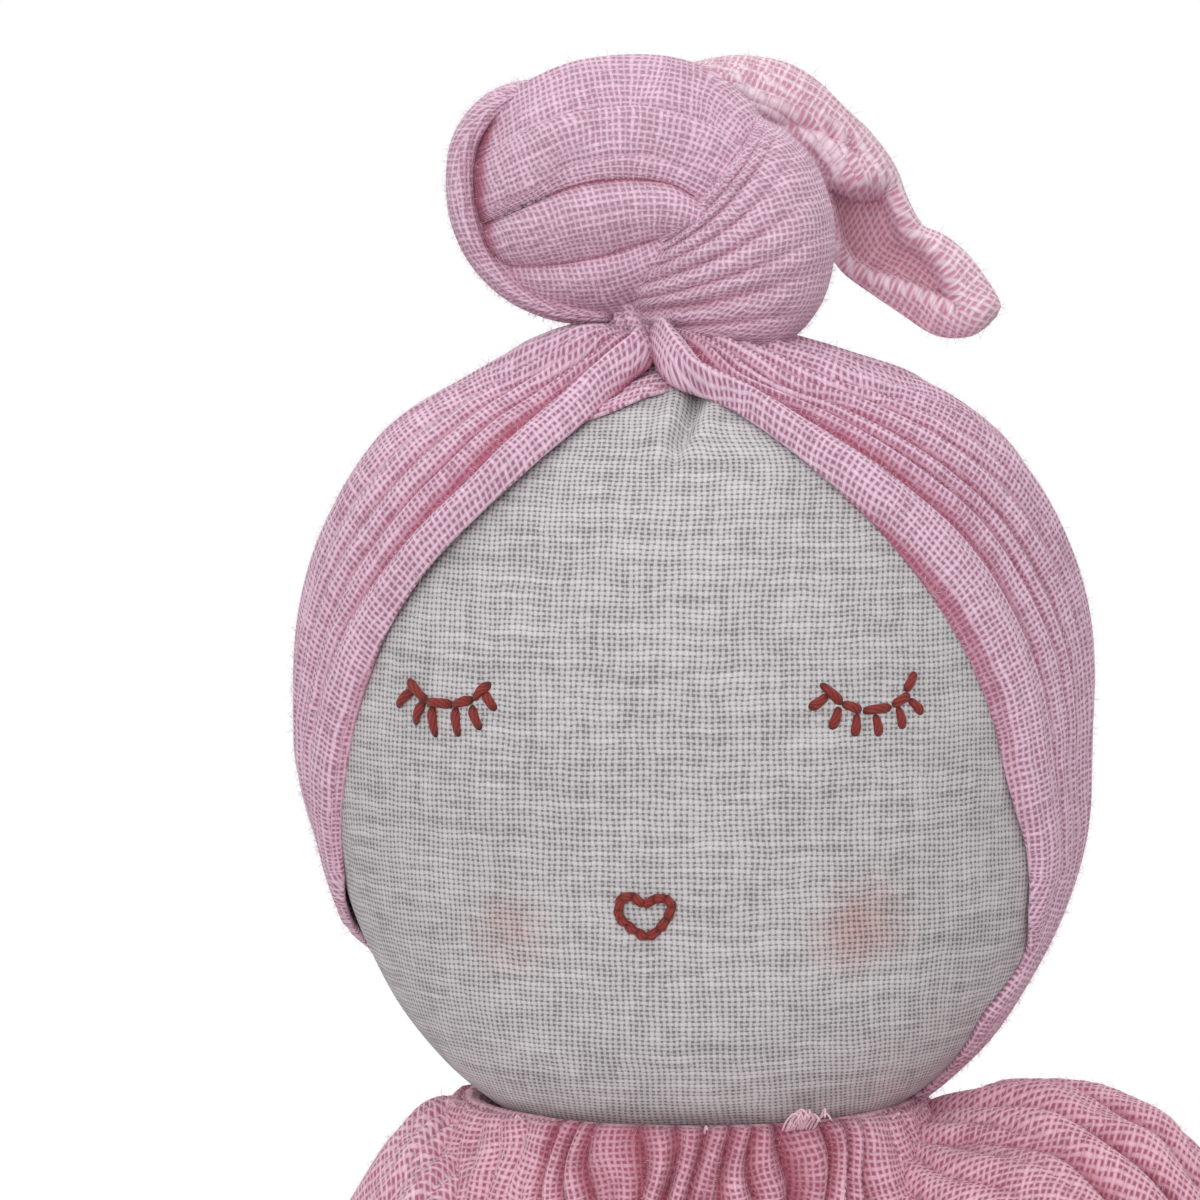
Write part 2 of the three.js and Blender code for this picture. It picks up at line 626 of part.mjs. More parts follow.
// One shell's outline, from its pole to its rim.
// The lower rim's lip stands inside the upper rim's skirt.
function rattleShell(upper) {
  const inside = RATTLE_RADIUS - RATTLE_WALL;
  const lap = RATTLE_RADIUS - RATTLE_WALL / 2;
  const arc = (radius, from) =>
    steps(6).map((i) => {
      const angle = lerp(from, Math.PI / 2, i / 5);
      return new THREE.Vector2(radius * Math.sin(angle), -radius * Math.cos(angle));
    });
  const point = (x, y) => new THREE.Vector2(x, y);
  const rim = upper
    ? [point(RATTLE_RADIUS, RATTLE_LIP), point(lap + FIT / 4, RATTLE_LIP), point(lap + FIT / 4, 0)]
    : [point(lap - FIT / 4, 0), point(lap - FIT / 4, RATTLE_LIP), point(inside, RATTLE_LIP)];
  const profile = [...arc(RATTLE_RADIUS, 0), ...rim, ...arc(inside, 0).reverse()];
  const geometry = new THREE.LatheGeometry(profile, 16).rotateX(Math.PI / 2);
  return upper ? geometry.rotateX(Math.PI).translate(0, 0, RATTLE_RISE) : geometry;
}

const BEAD_REACH = RATTLE_RADIUS - RATTLE_WALL - BEAD_RADIUS - BEAD_REST_GAP;

// Beads lie on the floor of the capsule: one in the middle and a ring round it.
function beadPlaces() {
  const ring = turn(BEADS_IN_RING).map((angle) =>
    vector(
      BEAD_RING_RADIUS * Math.cos(angle),
      BEAD_RING_RADIUS * Math.sin(angle),
      -Math.sqrt(BEAD_REACH ** 2 - BEAD_RING_RADIUS ** 2),
    ),
  );
  return [vector(0, 0, -BEAD_REACH), ...ring];
}

// Arms: sewn at the shoulder axis, then turned down by their splay, with a mitten hand

const armWay = ({ side, splay }) => vector(side * Math.sin(degToRad(splay)), 0, -Math.cos(degToRad(splay)));
const armTurn = ({ side }) => vector(side * ARM_OUT, 0, 0);
const sleeveLine = (arm, length) =>
  new THREE.LineCurve3(armTurn(arm), armTurn(arm).addScaledVector(armWay(arm), length));

function armCurve(arm, from, length) {
  const { side } = arm;
  const [elbow, out] = [armTurn(arm), armWay(arm)];
  const bend = ARM_RADIUS;
  const path = new THREE.CurvePath();
  const before = elbow.clone().setX(side * (ARM_OUT - bend));
  const after = elbow.clone().addScaledVector(out, bend);
  path.add(new THREE.LineCurve3(vector(side * from, 0, 0), before));
  path.add(new THREE.QuadraticBezierCurve3(before, elbow, after));
  path.add(new THREE.LineCurve3(after, elbow.clone().addScaledVector(out, length)));
  return path;
}

// Half-width of the torso just under the shoulder axis, where the arms are sewn on.
const ARM_ROOT = Math.max(...torsoRing(SHOULDER_Z - ARM_RADIUS, 0).map((p) => p.x)) + FIT;

function armSolid(arm, grow = 0) {
  const radius = (share) => {
    const sleeve = lerp(ARM_RADIUS, WRIST_RADIUS, smoothstep(share, 0.35, 0.72));
    const hand = (HAND_RADIUS - WRIST_RADIUS) * smoothstep(share, 0.76, 0.88);
    const tip = Math.sqrt(Math.max(0.02, 1 - smoothstep(share, 0.86, 1.0) ** 2));
    const r = (sleeve + hand) * tip + grow;
    return [r, r];
  };
  return solid(limb(armCurve(arm, ARM_ROOT, ARM_LENGTH), radius, 12, 14, vector(0, 1, 0)));
}

// The dress's shoulder as a form round the shoulder axis, which a sleeve fits over.
function shoulderForm(side, grow) {
  const outline = steps(8).map((i) => {
    const radius = ((SHOULDER_ROUND + grow) * i) / 7;
    const share = (radius / (SHOULDER_ROUND + grow)) ** DRESS_FULLNESS;
    return new THREE.Vector2(radius, (SHOULDER_HALF + grow) * (1 - share) ** (1 / DRESS_FULLNESS));
  });
  const geometry = new THREE.LatheGeometry([new THREE.Vector2(0, 0), ...outline.reverse()], 24);
  return solid(geometry.rotateZ(-side * (Math.PI / 2)));
}

// A puffed shoulder, round about the shoulder axis so that it clears the dress at every swing,
// and a straight sleeve.
function sleeveSolid(arm) {
  const { puffEnd, puffRadius } = arm;
  const bulge = [0, 0.13, 0.38, 0.62, 0.84, 0.96, 1].map((share) => {
    const rising = lerp(PUFF_FOOT, puffRadius, Math.sin((Math.PI / 2) * (share / 0.38)));
    const falling = puffRadius * (1 - Math.max(0, (share - 0.38) / 0.62) ** 2.4) ** (1 / 2.4);
    return new THREE.Vector2(share < 0.38 ? rising : falling, lerp(PUFF_START, puffEnd, share));
  });
  const inside = SHOULDER_HALF / 2;
  const outline = [new THREE.Vector2(0, inside), new THREE.Vector2(PUFF_FOOT, inside), ...bulge];
  const puff = new THREE.LatheGeometry(outline, 20).rotateZ(-arm.side * (Math.PI / 2));
  const flare = (share) => {
    const r = lerp(SLEEVE_RADIUS, CUFF_RADIUS, share) + 0.5 * Math.cos(6 * Math.PI * share);
    return [r, r];
  };
  const opening = (share) => {
    const r = lerp(WRIST_RADIUS, CUFF_RADIUS - MUSLIN, smoothstep(share, 0.45, 1));
    return [r, r];
  };
  const sideways = vector(0, 1, 0);
  const tube = limb(sleeveLine(arm, SLEEVE_LENGTH), flare, 14, 7, sideways);
  const mouth = limb(sleeveLine(arm, SLEEVE_LENGTH + FIT), opening, 12, 8, sideways);
  return solid(puff)
    .add(solid(tube))
    .subtract(shoulderForm(arm.side, SLEEVE_FIT))
    .subtract(armSolid(arm, FIT))
    .subtract(solid(mouth));
}

// Legs: straight out in front, tapering to the ankle, with the toes up

function legSolid() {
  const rows = 10;
  const rings = steps(rows).map((k) => {
    const y = lerp(HIP_RADIUS * 0.985, -LEG_LENGTH, (k / (rows - 1)) ** 1.25);
    const thigh = lerp(HIP_RADIUS, ANKLE_RADIUS, smoothstep(-y, 0, LEG_LENGTH));
    const radius = y > 0 ? Math.sqrt(HIP_RADIUS ** 2 - y ** 2) : thigh;
    const lift = y > 0 ? 0 : thigh - HIP_RADIUS;
    return turn(14).map((a) => vector(radius * Math.cos(a), y, lift + radius * Math.sin(a)));
  });
  const foot = new THREE.SphereGeometry(1, 12, 9).scale(
    ANKLE_RADIUS,
    FOOT_HALF_THICKNESS,
    FOOT_HALF_LENGTH,
  );
  foot.translate(0, -LEG_LENGTH, FOOT_HALF_LENGTH - HIP_RADIUS);
  return solid(loft(rings)).add(solid(foot));
}

// Materials
const material = (color, roughness) => new THREE.MeshStandardMaterial({ color, roughness, metalness: 0 });
const linen = material("#c9c4c0", 0.95);
const muslin = material("#cf97ab", 0.95);
const dressMuslin = material("#d08a9b", 0.95);
const thread = material("#8a3a34", 0.8);
const wadding = material("#f0ede6", 1);
const capsulePlastic = material("#e6e8ea", 0.4);
const beadPlastic = material("#5f86b3", 0.35);

function piece(name, body, finish) {
  const mesh = new THREE.Mesh(geometryOf(body), finish);
  mesh.name = name;
  return mesh;
}

function groupAt(x, y, z, ...children) {
  const group = new THREE.Group();
  group.position.set(x, y, z);
  group.add(...children);
  return group;
}

const head = groupAt(
  0,
  0,
  HEAD_Z,
  piece("head_stuffing", solid(headStuffing()), wadding),
  piece("face_panel", solid(headPanel(FACE)), linen),
  piece("head_back_panel", solid(headPanel(BACK)), linen),
  piece("right_eye_stitches", eyeStitches(-1), thread),
  piece("left_eye_stitches", eyeStitches(1), thread),
  piece("mouth_stitches", mouthStitches(), thread),
  piece("head_wrap", solid(headWrap()), muslin),
  piece("knot_right_lobe", solid(knotRight(0)), muslin),
  piece("knot_left_lobe", solid(knotLeft(0)).subtract(solid(knotRight(FIT))), muslin),
  piece("knot_tail", solid(knotTail()), muslin),
);

const torsoNodes = torsoPieces();
const dress = dressPanels();
const torso = groupAt(
  0,
  0,
  0,
  ...Object.entries(torsoNodes).map(([name, body]) =>
    piece(name, body, name.includes("stuffing") ? wadding : linen),
  ),
  piece("neck", neck(), linen),
  piece("neckline_gather", necklineGather(), dressMuslin),
  piece("dress_front", dress.front, dressMuslin),
  piece("dress_back", dress.back, dressMuslin),
);

const rattle = groupAt(
  0,
  0,
  RATTLE_Z,
  piece("rattle_shell_lower", solid(rattleShell(false)), capsulePlastic),
  piece("rattle_shell_upper", solid(rattleShell(true)), capsulePlastic),
  ...beadPlaces().map((at, i) =>
    piece("rattle_bead_" + (i + 1), solid(sphere(BEAD_RADIUS, at, 8, 6)), beadPlastic),
  ),
);

const arms = [LEFT_ARM, RIGHT_ARM].map((arm) => {
  const name = arm.side > 0 ? "left" : "right";
  return groupAt(
    0,
    0,
    SHOULDER_Z,
    piece(name + "_arm", armSolid(arm), linen),
    piece(name + "_sleeve", sleeveSolid(arm), dressMuslin),
  );
});

const legs = [1, -1].map((side) => {
  const name = side > 0 ? "left_leg" : "right_leg";
  return groupAt(side * HIP_X, HIP_Y, HIP_RADIUS + LEG_CLEAR, piece(name, legSolid(), linen));
});

const doll = new THREE.Group();
doll.add(head, torso, rattle, ...arms, ...legs);

export default doll;
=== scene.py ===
"""A seated rag rattle doll: stuffed linen head and limbs, a knotted muslin scarf and a gathered dress.

Shapes are worked out in millimetres in the doll's own frame: +Z up, the doll faces -Y.
"""

import json
import math
from types import SimpleNamespace

import bpy
import numpy as np
from bpy.props import FloatProperty, FloatVectorProperty, IntProperty, PointerProperty
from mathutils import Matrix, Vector


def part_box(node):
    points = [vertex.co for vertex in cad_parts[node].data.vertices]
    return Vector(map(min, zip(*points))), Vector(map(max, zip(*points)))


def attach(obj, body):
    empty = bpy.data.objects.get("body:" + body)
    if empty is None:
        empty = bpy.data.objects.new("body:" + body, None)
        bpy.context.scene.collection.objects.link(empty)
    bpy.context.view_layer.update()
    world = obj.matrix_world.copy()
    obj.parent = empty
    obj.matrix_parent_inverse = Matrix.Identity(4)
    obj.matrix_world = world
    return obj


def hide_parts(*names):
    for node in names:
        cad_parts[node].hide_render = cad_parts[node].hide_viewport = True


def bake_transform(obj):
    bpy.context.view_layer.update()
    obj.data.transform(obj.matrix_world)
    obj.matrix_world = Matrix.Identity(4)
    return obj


bl_info = {
    "name": "Rag Rattle Doll",
    "version": (1, 0, 0),
    "blender": (4, 5, 0),
    "location": "View3D > Sidebar > Doll",
    "description": "Dresses the packed doll in linen, muslin and embroidery thread",
    "category": "Object",
}

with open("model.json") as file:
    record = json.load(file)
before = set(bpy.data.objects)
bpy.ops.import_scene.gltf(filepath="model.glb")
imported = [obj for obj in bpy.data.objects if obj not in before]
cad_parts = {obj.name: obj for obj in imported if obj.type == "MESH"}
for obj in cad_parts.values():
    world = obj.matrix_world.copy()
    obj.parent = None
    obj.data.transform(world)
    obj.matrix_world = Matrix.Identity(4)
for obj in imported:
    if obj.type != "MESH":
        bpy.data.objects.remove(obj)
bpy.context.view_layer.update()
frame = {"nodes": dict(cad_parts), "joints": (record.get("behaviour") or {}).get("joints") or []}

MM = 0.001


def linear(code):
    """A colour for a shader, from its sRGB hex value."""
    parts = [int(code[i:i + 2], 16) / 255 for i in (1, 3, 5)]
    return [p / 12.92 if p <= 0.04045 else ((p + 0.055) / 1.055) ** 2.4 for p in parts]


def joint_at(name):
    """Where a joint of the frame is, in millimetres."""
    return np.array(next(joint["pos_m"] for joint in frame["joints"] if joint["name"] == name)) / MM


# The head's middle lies this far above the lowest point of its front panel
HEAD_SEAM_BELOW = 0.042
HEAD_AT = Vector((0, 0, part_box("face_panel")[0][2] + HEAD_SEAM_BELOW))
HEAD_MM = np.array(HEAD_AT) / MM
SHOULDER_Z = joint_at("neck_nod")[2]
HIP = np.abs(joint_at("left_hip"))


def length(name, default, description):
    return FloatProperty(name=name, description=description, default=default, min=0, unit="LENGTH", precision=5)


def share(name, default, description):
    return FloatProperty(name=name, description=description, default=default)


def angle(name, default, description):
    return FloatProperty(name=name, description=description, default=math.radians(default), subtype="ANGLE")


def colour(name, default, description):
    return FloatVectorProperty(
        name=name, description=description, default=linear(default), size=3, min=0, max=1, subtype="COLOR")


class DollHead(bpy.types.PropertyGroup):
    width: length("Width", 0.076, "Width of the stuffed head")
    depth: length("Depth", 0.067, "Depth of the stuffed head, front to back")
    up: length("Crown", 0.0375, "Height of the crown above the middle of the head")
    down: length("Underside", 0.0435, "Depth of the underside below the middle of the head")
    fullness: share("Fullness", 2.2, "2 is an ellipse, and more is squarer")
    slope: length("Slope", 0.0013, "How far the crown drops on both sides of the knot")
    lean: length("Lean", 0.0009, "How far the cheeks lie to the left of the middle")
    warp: length("Warp spacing", 0.0006, "Distance between the linen's upright threads")
    weft: length("Weft spacing", 0.00053, "Distance between the linen's level threads")
    linen: colour("Linen", "#D6D2D4", "Colour of the linen's threads")
    linen_gap: colour("Linen gaps", "#868283", "Colour seen between the linen's threads")
    blush: colour("Blush", "#FFB4A6", "Colour rubbed into the cheeks")
    thread: colour("Thread", "#92322C", "Colour of the embroidery thread")
    thread_width: length("Thread width", 0.00104, "Width of one embroidery stitch")


class DollScarf(bpy.types.PropertyGroup):
    lift: length("Lift", 0.0002, "Gap between the linen and the scarf")
    cloth: length("Cloth", 0.0006, "Thickness of the muslin")
    fold: length("Fold depth", 0.0024, "Depth of the folds beside the knot")
    weave: length("Thread spacing", 0.00066, "Distance between the muslin's threads")
    muslin: colour("Muslin", "#F7D3E8", "Colour of the scarf's threads")
    muslin_gap: colour("Muslin gaps", "#B67692", "Colour seen between the scarf's threads")
    # Painted shade: the colour that the scarf's creases are painted, darker and redder, for the shade that falls in
    # its folds
    crease: colour("Creases", "#B04E6A", "Colour of the scarf deep in its folds")
    # Painted light: the loose end is the scarf's muslin painted paler, for light that comes through it from behind
    loose: colour("Loose end", "#FFE4F0", "Colour of the threads of its loose end, with light through them")
    loose_gap: colour("Loose end gaps", "#E09AB0", "Colour seen between those threads")


class DollDress(bpy.types.PropertyGroup):
    cloth: length("Cloth", 0.0007, "Thickness of the muslin")
    neckline: length("Neckline", 0.0234, "Radius of the gathered neckline")
    shoulder: length("Shoulder", 0.030, "Half the width over the shoulders")
    round: length("Shoulder round", 0.027, "Radius of the shoulders about their own axis")
    hem_side: length("Hem side", 0.046, "Half the width of the hem")
    hem_front: length("Hem front", 0.055, "How far the hem stands out in front")
    hem_back: length("Hem back", 0.043, "How far the hem stands out behind")
    tuck: length("Underarm tuck", 0.0115, "How far the sides draw in under the arms")
    fold: length("Fold depth", 0.003, "Depth of the skirt's folds at the hem")
    gathers: IntProperty(name="Gathers", description="Gathers round the neckline", default=50)
    weave: length("Thread spacing", 0.00068, "Distance between the muslin's threads")
    muslin: colour("Muslin", "#F0BECE", "Colour of the dress's threads")
    muslin_gap: colour("Muslin gaps", "#B4607A", "Colour seen between the dress's threads")
    # Painted light: the right sleeve is the dress's muslin painted paler, for the light that falls on it
    pale: colour("Pale muslin", "#F7CEDD", "Colour of the threads of the right sleeve, which is the paler one")
    painted_lit_gap: colour("Pale gaps", "#BF708A", "Colour seen between those threads")
    # Painted shade: the colour that the dress's creases are painted, darker and redder, for the shade that falls in
    # its folds
    crease: colour("Creases", "#A03F56", "Colour of the dress deep in its folds")


class DollBody(bpy.types.PropertyGroup):
    arm: length("Arm", 0.0064, "Radius of an arm at the shoulder")
    wrist: length("Wrist", 0.0056, "Radius of an arm at the wrist")
    hand: length("Hand", 0.0066, "Radius of a mitten hand")
    arm_length: length("Arm length", 0.052, "From the turn at the shoulder to the fingertips")
    arm_out: length("Arm turn", 0.034, "Where an arm turns down, out along the shoulder axis")
    left_splay: angle("Left splay", 56, "Angle of the left arm out from straight down")
    right_splay: angle("Right splay", 27, "Angle of the right arm out from straight down")
    thigh: length("Thigh", 0.0108, "Radius of a leg at the hip")
    ankle: length("Ankle", 0.0076, "Radius of a leg at the ankle")
    leg_length: length("Leg length", 0.070, "From hip to ankle")
    torso_width: length("Torso", 0.020, "Half the width of the torso")
    torso_depth: length("Torso depth", 0.017, "Half the depth of the torso")
    capsule: colour("Capsule", "#E1E3E5", "Colour of the rattle's capsule")
    bead: colour("Beads", "#5A80AD", "Colour of the rattle's beads")


class DollStage(bpy.types.PropertyGroup):
    floor: colour("Floor", "#F2F1F0", "Colour of the floor")
    ambient: share("Room light", 0.75, "Strength of the even light from all round")
    key: share("Top light", 1.1, "Watts of the soft light above")
    fill: share("Front light", 10.2, "Watts of the soft light in front")
    rim: share("Back light", 2.6, "Watts of the soft light behind")
    lens: share("Lens", 270, "Focal length of the camera in millimetres")
    azimuth: angle("Azimuth", 6.5, "How far the camera stands round to the doll's left")
    elevation: angle("Elevation", 5, "How far the camera stands above the head")
    distance: length("Distance", 0.9, "Distance of the camera")
    aim_across: FloatProperty(
        name="Aim across", description="Middle of the picture, right of the head's middle",
        default=-0.0092, unit="LENGTH")
    aim_up: FloatProperty(
        name="Aim up", description="Middle of the picture, above the head's middle", default=0.012, unit="LENGTH")


def in_mm(group):
    """A group's values, with its lengths in millimetres."""
    values = {}
    for name, prop in group.bl_rna.properties.items():
        if prop.type in {"FLOAT", "INT"}:
            value = getattr(group, name)
            values[name] = value / MM if prop.type == "FLOAT" and prop.unit == "LENGTH" else value
    return SimpleNamespace(**values)


# Numbers along curves and surfaces

def mix(a, b, t):
    return a + (b - a) * t


def ease(x, low, high):
    """Smooth step from 0 at low to 1 at high."""
    t = np.clip((x - low) / (high - low), 0, 1)
    return t * t * (3 - 2 * t)


def through(points, t):
    """A smooth curve through points, at shares t of its length in steps."""
    rows = np.asarray(points, float)
    flat = rows.ndim == 1
    rows = rows.reshape(len(rows), -1)
    last = len(rows) - 1
    at = np.clip(t, 0, 1) * last
    i = np.minimum(at.astype(int), last - 1)
    f = (at - i)[:, None]
    ends = np.vstack([2 * rows[0] - rows[1], rows, 2 * rows[-1] - rows[-2]])
    a, b, c, d = (ends[i + k] for k in range(4))
    found = 0.5 * (2 * b + (c - a) * f + (2 * a - 5 * b + 4 * c - d) * f ** 2 + (3 * b - a - 3 * c + d) * f ** 3)
    return found[:, 0] if flat else found


def lumps(points, size, seed):
    """Soft unevenness from about -1 to 1 over points, with lumps of about that size."""
    draws = np.random.default_rng(seed)
    total = np.zeros(len(points))
    for _ in range(10):
        way = draws.normal(size=points.shape[1])
        way *= math.tau / (size * draws.uniform(1.4, 3.0) * np.linalg.norm(way))
        total += np.sin(points @ way + draws.uniform(0, math.tau))
    return total / 4


def pleat_count(turns, count, seed, uneven=(2, 3, 5, 7)):
    """Uneven gathers round a turn, counted, with the share of the way over the gather after the point.

    uneven says how many times round they crowd together.
    """
    draws = np.random.default_rng(seed)
    phase = count * turns / 2
    for times in uneven:
        crowd = count * 0.29 / sum(uneven) * draws.uniform(0.6, 1.4)
        phase = phase + crowd * np.sin(times * turns + draws.uniform(0, math.tau))
    return phase / math.pi


def pleats(turns, count, seed, *uneven):
    """The height of such gathers, 1 on the ridges and 0 in their pinched valleys."""
    return np.abs(np.sin(math.pi * pleat_count(turns, count, seed, *uneven))) ** 0.7


def along_table(table, x, blur=0.012):
    """Values from a table of pairs, with its corners rounded off."""
    at, values = np.transpose(table)
    return np.mean([np.interp(x + shift, at, values) for shift in np.linspace(-blur, blur, 9)], axis=0)


def bell(x, width):
    """1 at 0, falling off on both sides over about that width."""
    return np.exp(-(x / width) ** 2)


def about_axis(reach, turn, z):
    """Points at a distance from the doll's axis, at an angle from the front and at a height."""
    return np.stack([reach * np.sin(turn), -reach * np.cos(turn), z], axis=1)


def unit(rows):
    return rows / np.maximum(np.linalg.norm(rows, axis=-1, keepdims=True), 1e-9)


# Pieces: a grid shaped by a function, then welded, thickened and dressed

WELD_GAP = 0.02


def threads_along(points, u, v):
    """Millimetres across and along a cloth's threads, for a weave that keeps its scale over folds.

    The threads run down the grid's columns and are measured from its middle.
    """
    order = np.lexsort((u, v))
    rows = len(np.unique(np.round(v, 5)))
    grid = points[order].reshape(rows, -1, 3)
    across, down = np.zeros(grid.shape[:2]), np.zeros(grid.shape[:2])
    across[:, 1:] = np.cumsum(np.linalg.norm(np.diff(grid, axis=1), axis=2), axis=1)
    down[1:] = np.cumsum(np.linalg.norm(np.diff(grid, axis=0), axis=2), axis=0)
    across -= across[:, across.shape[1] // 2][:, None]
    down -= down[rows // 2]
    threads = np.empty((len(points), 2))
    threads[order] = np.stack([across.ravel(), -down.ravel()], axis=1)
    return threads


def threads_by_fold(points, u, v, fold_at, corners):
    """The same for each fold by itself, at the corners of its faces: its threads run along it and end in its creases.

    fold_at counts the folds across the cloth, with the share of the way over the fold after the point.
    """
    order = np.lexsort((u, v))
    rows = len(np.unique(np.round(v, 5)))
    grid = points[order].reshape(rows, -1, 3)
    count = np.maximum.accumulate(fold_at[order].reshape(rows, -1), axis=1)
    steps = np.cumsum(np.linalg.norm(np.diff(grid, axis=1), axis=2), axis=1)
    arc = np.hstack([np.zeros((rows, 1)), steps])
    row, reach = np.empty(len(points), int), np.empty(len(points))
    row[order], reach[order] = np.repeat(np.arange(rows), grid.shape[1]), arc.ravel()
    owner = np.repeat(np.floor(fold_at[corners[0::4]]), 4)
    threads = np.empty((len(corners), 2))
    for fold in np.unique(owner):
        near, far = (
            np.array([[np.interp(fold + t, count[r], grid[r, :, axis]) for axis in range(3)] for r in range(rows)])
            for t in (0.02, 0.98))
        middle, over = (near + far) / 2, unit(far - near)
        middle_arc = np.array([np.interp(fold + 0.5, count[r], arc[r]) for r in range(rows)])
        run = np.append(0, np.cumsum(np.linalg.norm(np.diff(middle, axis=0), axis=1)))
        slant = np.sum(over * unit(np.gradient(middle, axis=0)), axis=1)
        mine = owner == fold
        at = corners[mine]
        r = row[at]
        aside = reach[at] - middle_arc[r]
        threads[mine] = np.stack(
            [aside * np.sqrt(1 - np.minimum(slant[r] ** 2, 0.9)) + 41 * fold, -run[r] - aside * slant[r]], axis=1)
    return threads


def grid_piece(name, across, down, place):
    """A grid whose points go where place(u, v) says, in millimetres, with u across and v down.

    place also gives each point's painted shade, mostly its height on its fold: 1 on a ridge and 0 in a crease, where
    the materials paint the crease colour. It may also give the folds' count across the cloth, or its threads
    themselves.
    """
    bpy.ops.object.select_all(action="DESELECT")
    bpy.ops.mesh.primitive_grid_add(x_subdivisions=across, y_subdivisions=down, size=1)
    piece = bpy.context.object
    piece.name = piece.data.name = name
    mesh = piece.data
    flat = np.empty(len(mesh.vertices) * 3, np.float32)
    mesh.vertices.foreach_get("co", flat)
    u, v = flat[0::3].astype(float) + 0.5, 0.5 - flat[1::3].astype(float)
    points, fold, *laid = place(u, v)
    mesh.vertices.foreach_set("co", (points * MM).astype(np.float32).ravel())
    corners = np.empty(len(mesh.loops), np.int32)
    mesh.loops.foreach_get("vertex_index", corners)
    if not laid:
        threads = threads_along(points, u, v)[corners]
    elif laid[0].ndim == 1:
        threads = threads_by_fold(points, u, v, laid[0], corners)
    else:
        threads = laid[0][corners]
    mesh.uv_layers.active.data.foreach_set("uv", threads.astype(np.float32).ravel())
    # The fold attribute holds each point's painted shade, which the muslin and thread materials turn into darker
    # colour.
    height = mesh.attributes.new("fold", "FLOAT", "POINT")
    height.data.foreach_set("value", (np.zeros(len(u)) + fold).astype(np.float32))
    weld(piece)
    bpy.ops.object.shade_smooth()
    return piece


def on_whole_mesh(piece, change, **settings):
    """Makes one change to all of a piece's mesh."""
    bpy.context.view_layer.objects.active = piece
    bpy.ops.object.mode_set(mode="EDIT")
    bpy.ops.mesh.select_all(action="SELECT")
    change(**settings)
    bpy.ops.object.mode_set(mode="OBJECT")


def weld(piece):
    """Closes the seams and poles of a piece."""
    on_whole_mesh(piece, bpy.ops.mesh.remove_doubles, threshold=WELD_GAP * MM)


def outward(piece):
    """Turns the faces of a closed piece outwards."""
    on_whole_mesh(piece, bpy.ops.mesh.normals_make_consistent, inside=False)


def turn_over(piece):
    """Turns a sheet's faces to its other side."""
    on_whole_mesh(piece, bpy.ops.mesh.flip_normals)


def thicken(piece, thickness):
    """Gives a sheet its cloth's thickness, inwards from its face."""
    bpy.context.view_layer.objects.active = piece
    modifier = piece.modifiers.new("Cloth", "SOLIDIFY")
    modifier.thickness = thickness * MM
    modifier.offset = -1
    bpy.ops.object.modifier_apply(modifier=modifier.name)


def join(name, pieces):
    bpy.ops.object.select_all(action="DESELECT")
    for piece in pieces:
        piece.select_set(True)
    bpy.context.view_layer.objects.active = pieces[0]
    if len(pieces) > 1:
        bpy.ops.object.join()
    pieces[0].name = pieces[0].data.name = name
    return pieces[0]


def dress_up(piece, material, body=None, replaces=()):
    """Gives a piece its cloth, the body that it moves with and the CAD nodes that it stands for."""
    piece.data.materials.clear()
    piece.data.materials.append(material)
    if body:
        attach(piece, body)
    if replaces:
        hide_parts(*replaces)
    return piece


def swept(path, wide, deep, across, relief=None):
    """A closed form round a path, with its half-widths at shares of the path."""
    side_way = np.asarray(across, float)

    def place(u, v):
        at = through(path, v)
        along = unit(through(path, np.minimum(v + 0.01, 1)) - through(path, np.maximum(v - 0.01, 0)))
        side = unit(side_way - along * (along @ side_way)[:, None])
        up = np.cross(along, side)
        turn = math.tau * u
        lift, fold = relief(u, v) if relief else (np.zeros(len(u)), np.ones(len(u)))
        w, d = through(wide, v), through(deep, v)
        # Both ends are rounded off.
        close = np.sqrt(np.clip(1 - np.maximum(0, np.abs(2 * v - 1) - 0.94) ** 2 / 0.06 ** 2, 0, 1))
        return at + (side * (np.cos(turn) * (w + lift) * close)[:, None]
                     + up * (np.sin(turn) * (d + lift) * close)[:, None]), fold

    return place


# Materials

WHITE = (1, 1, 1, 1)


def add(tree, kind, inputs=None, **settings):
    """A shader node with its settings, and its inputs as values or as sockets to link from."""
    node = tree.nodes.new("ShaderNode" + kind)
    for name, value in settings.items():
        setattr(node, name, value)
    for key, value in (inputs or {}).items():
        if isinstance(value, bpy.types.NodeSocket):
            tree.links.new(value, node.inputs[key])
        else:
            node.inputs[key].default_value = value
    return node


def calc(tree, operation, *values, kind="Math"):
    """What a math node makes of values or sockets."""
    return add(tree, kind, dict(enumerate(values)), operation=operation).outputs[0]


def scaled(tree, colour, by):
    return add(tree, "VectorMath", {0: colour, "Scale": by}, operation="SCALE").outputs[0]


def ranged(tree, value, start, stop, low=0.0, high=1.0, kind="LINEAR"):
    """Runs from low to high as the value runs from start to stop."""
    spans = {"Value": value, 1: start, 2: stop, 3: low, 4: high}
    return add(tree, "MapRange", spans, interpolation_type=kind).outputs[0]


def blended(tree, share, first, second, kind="MIX"):
    colours = {"Factor": share, 6: first, 7: second}
    return add(tree, "Mix", colours, data_type="RGBA", blend_type=kind).outputs[2]


def noise(tree, at, scale, detail, roughness=0.5, kind="3D"):
    inputs = {"Vector": at, "Scale": scale, "Detail": detail, "Roughness": roughness}
    return add(tree, "TexNoise", inputs, noise_dimensions=kind).outputs


def blank(name):
    material = bpy.data.materials.new(name)
    material.use_nodes = True
    material.node_tree.nodes.clear()
    return material.node_tree


def rgba(values):
    return (*values, 1.0)


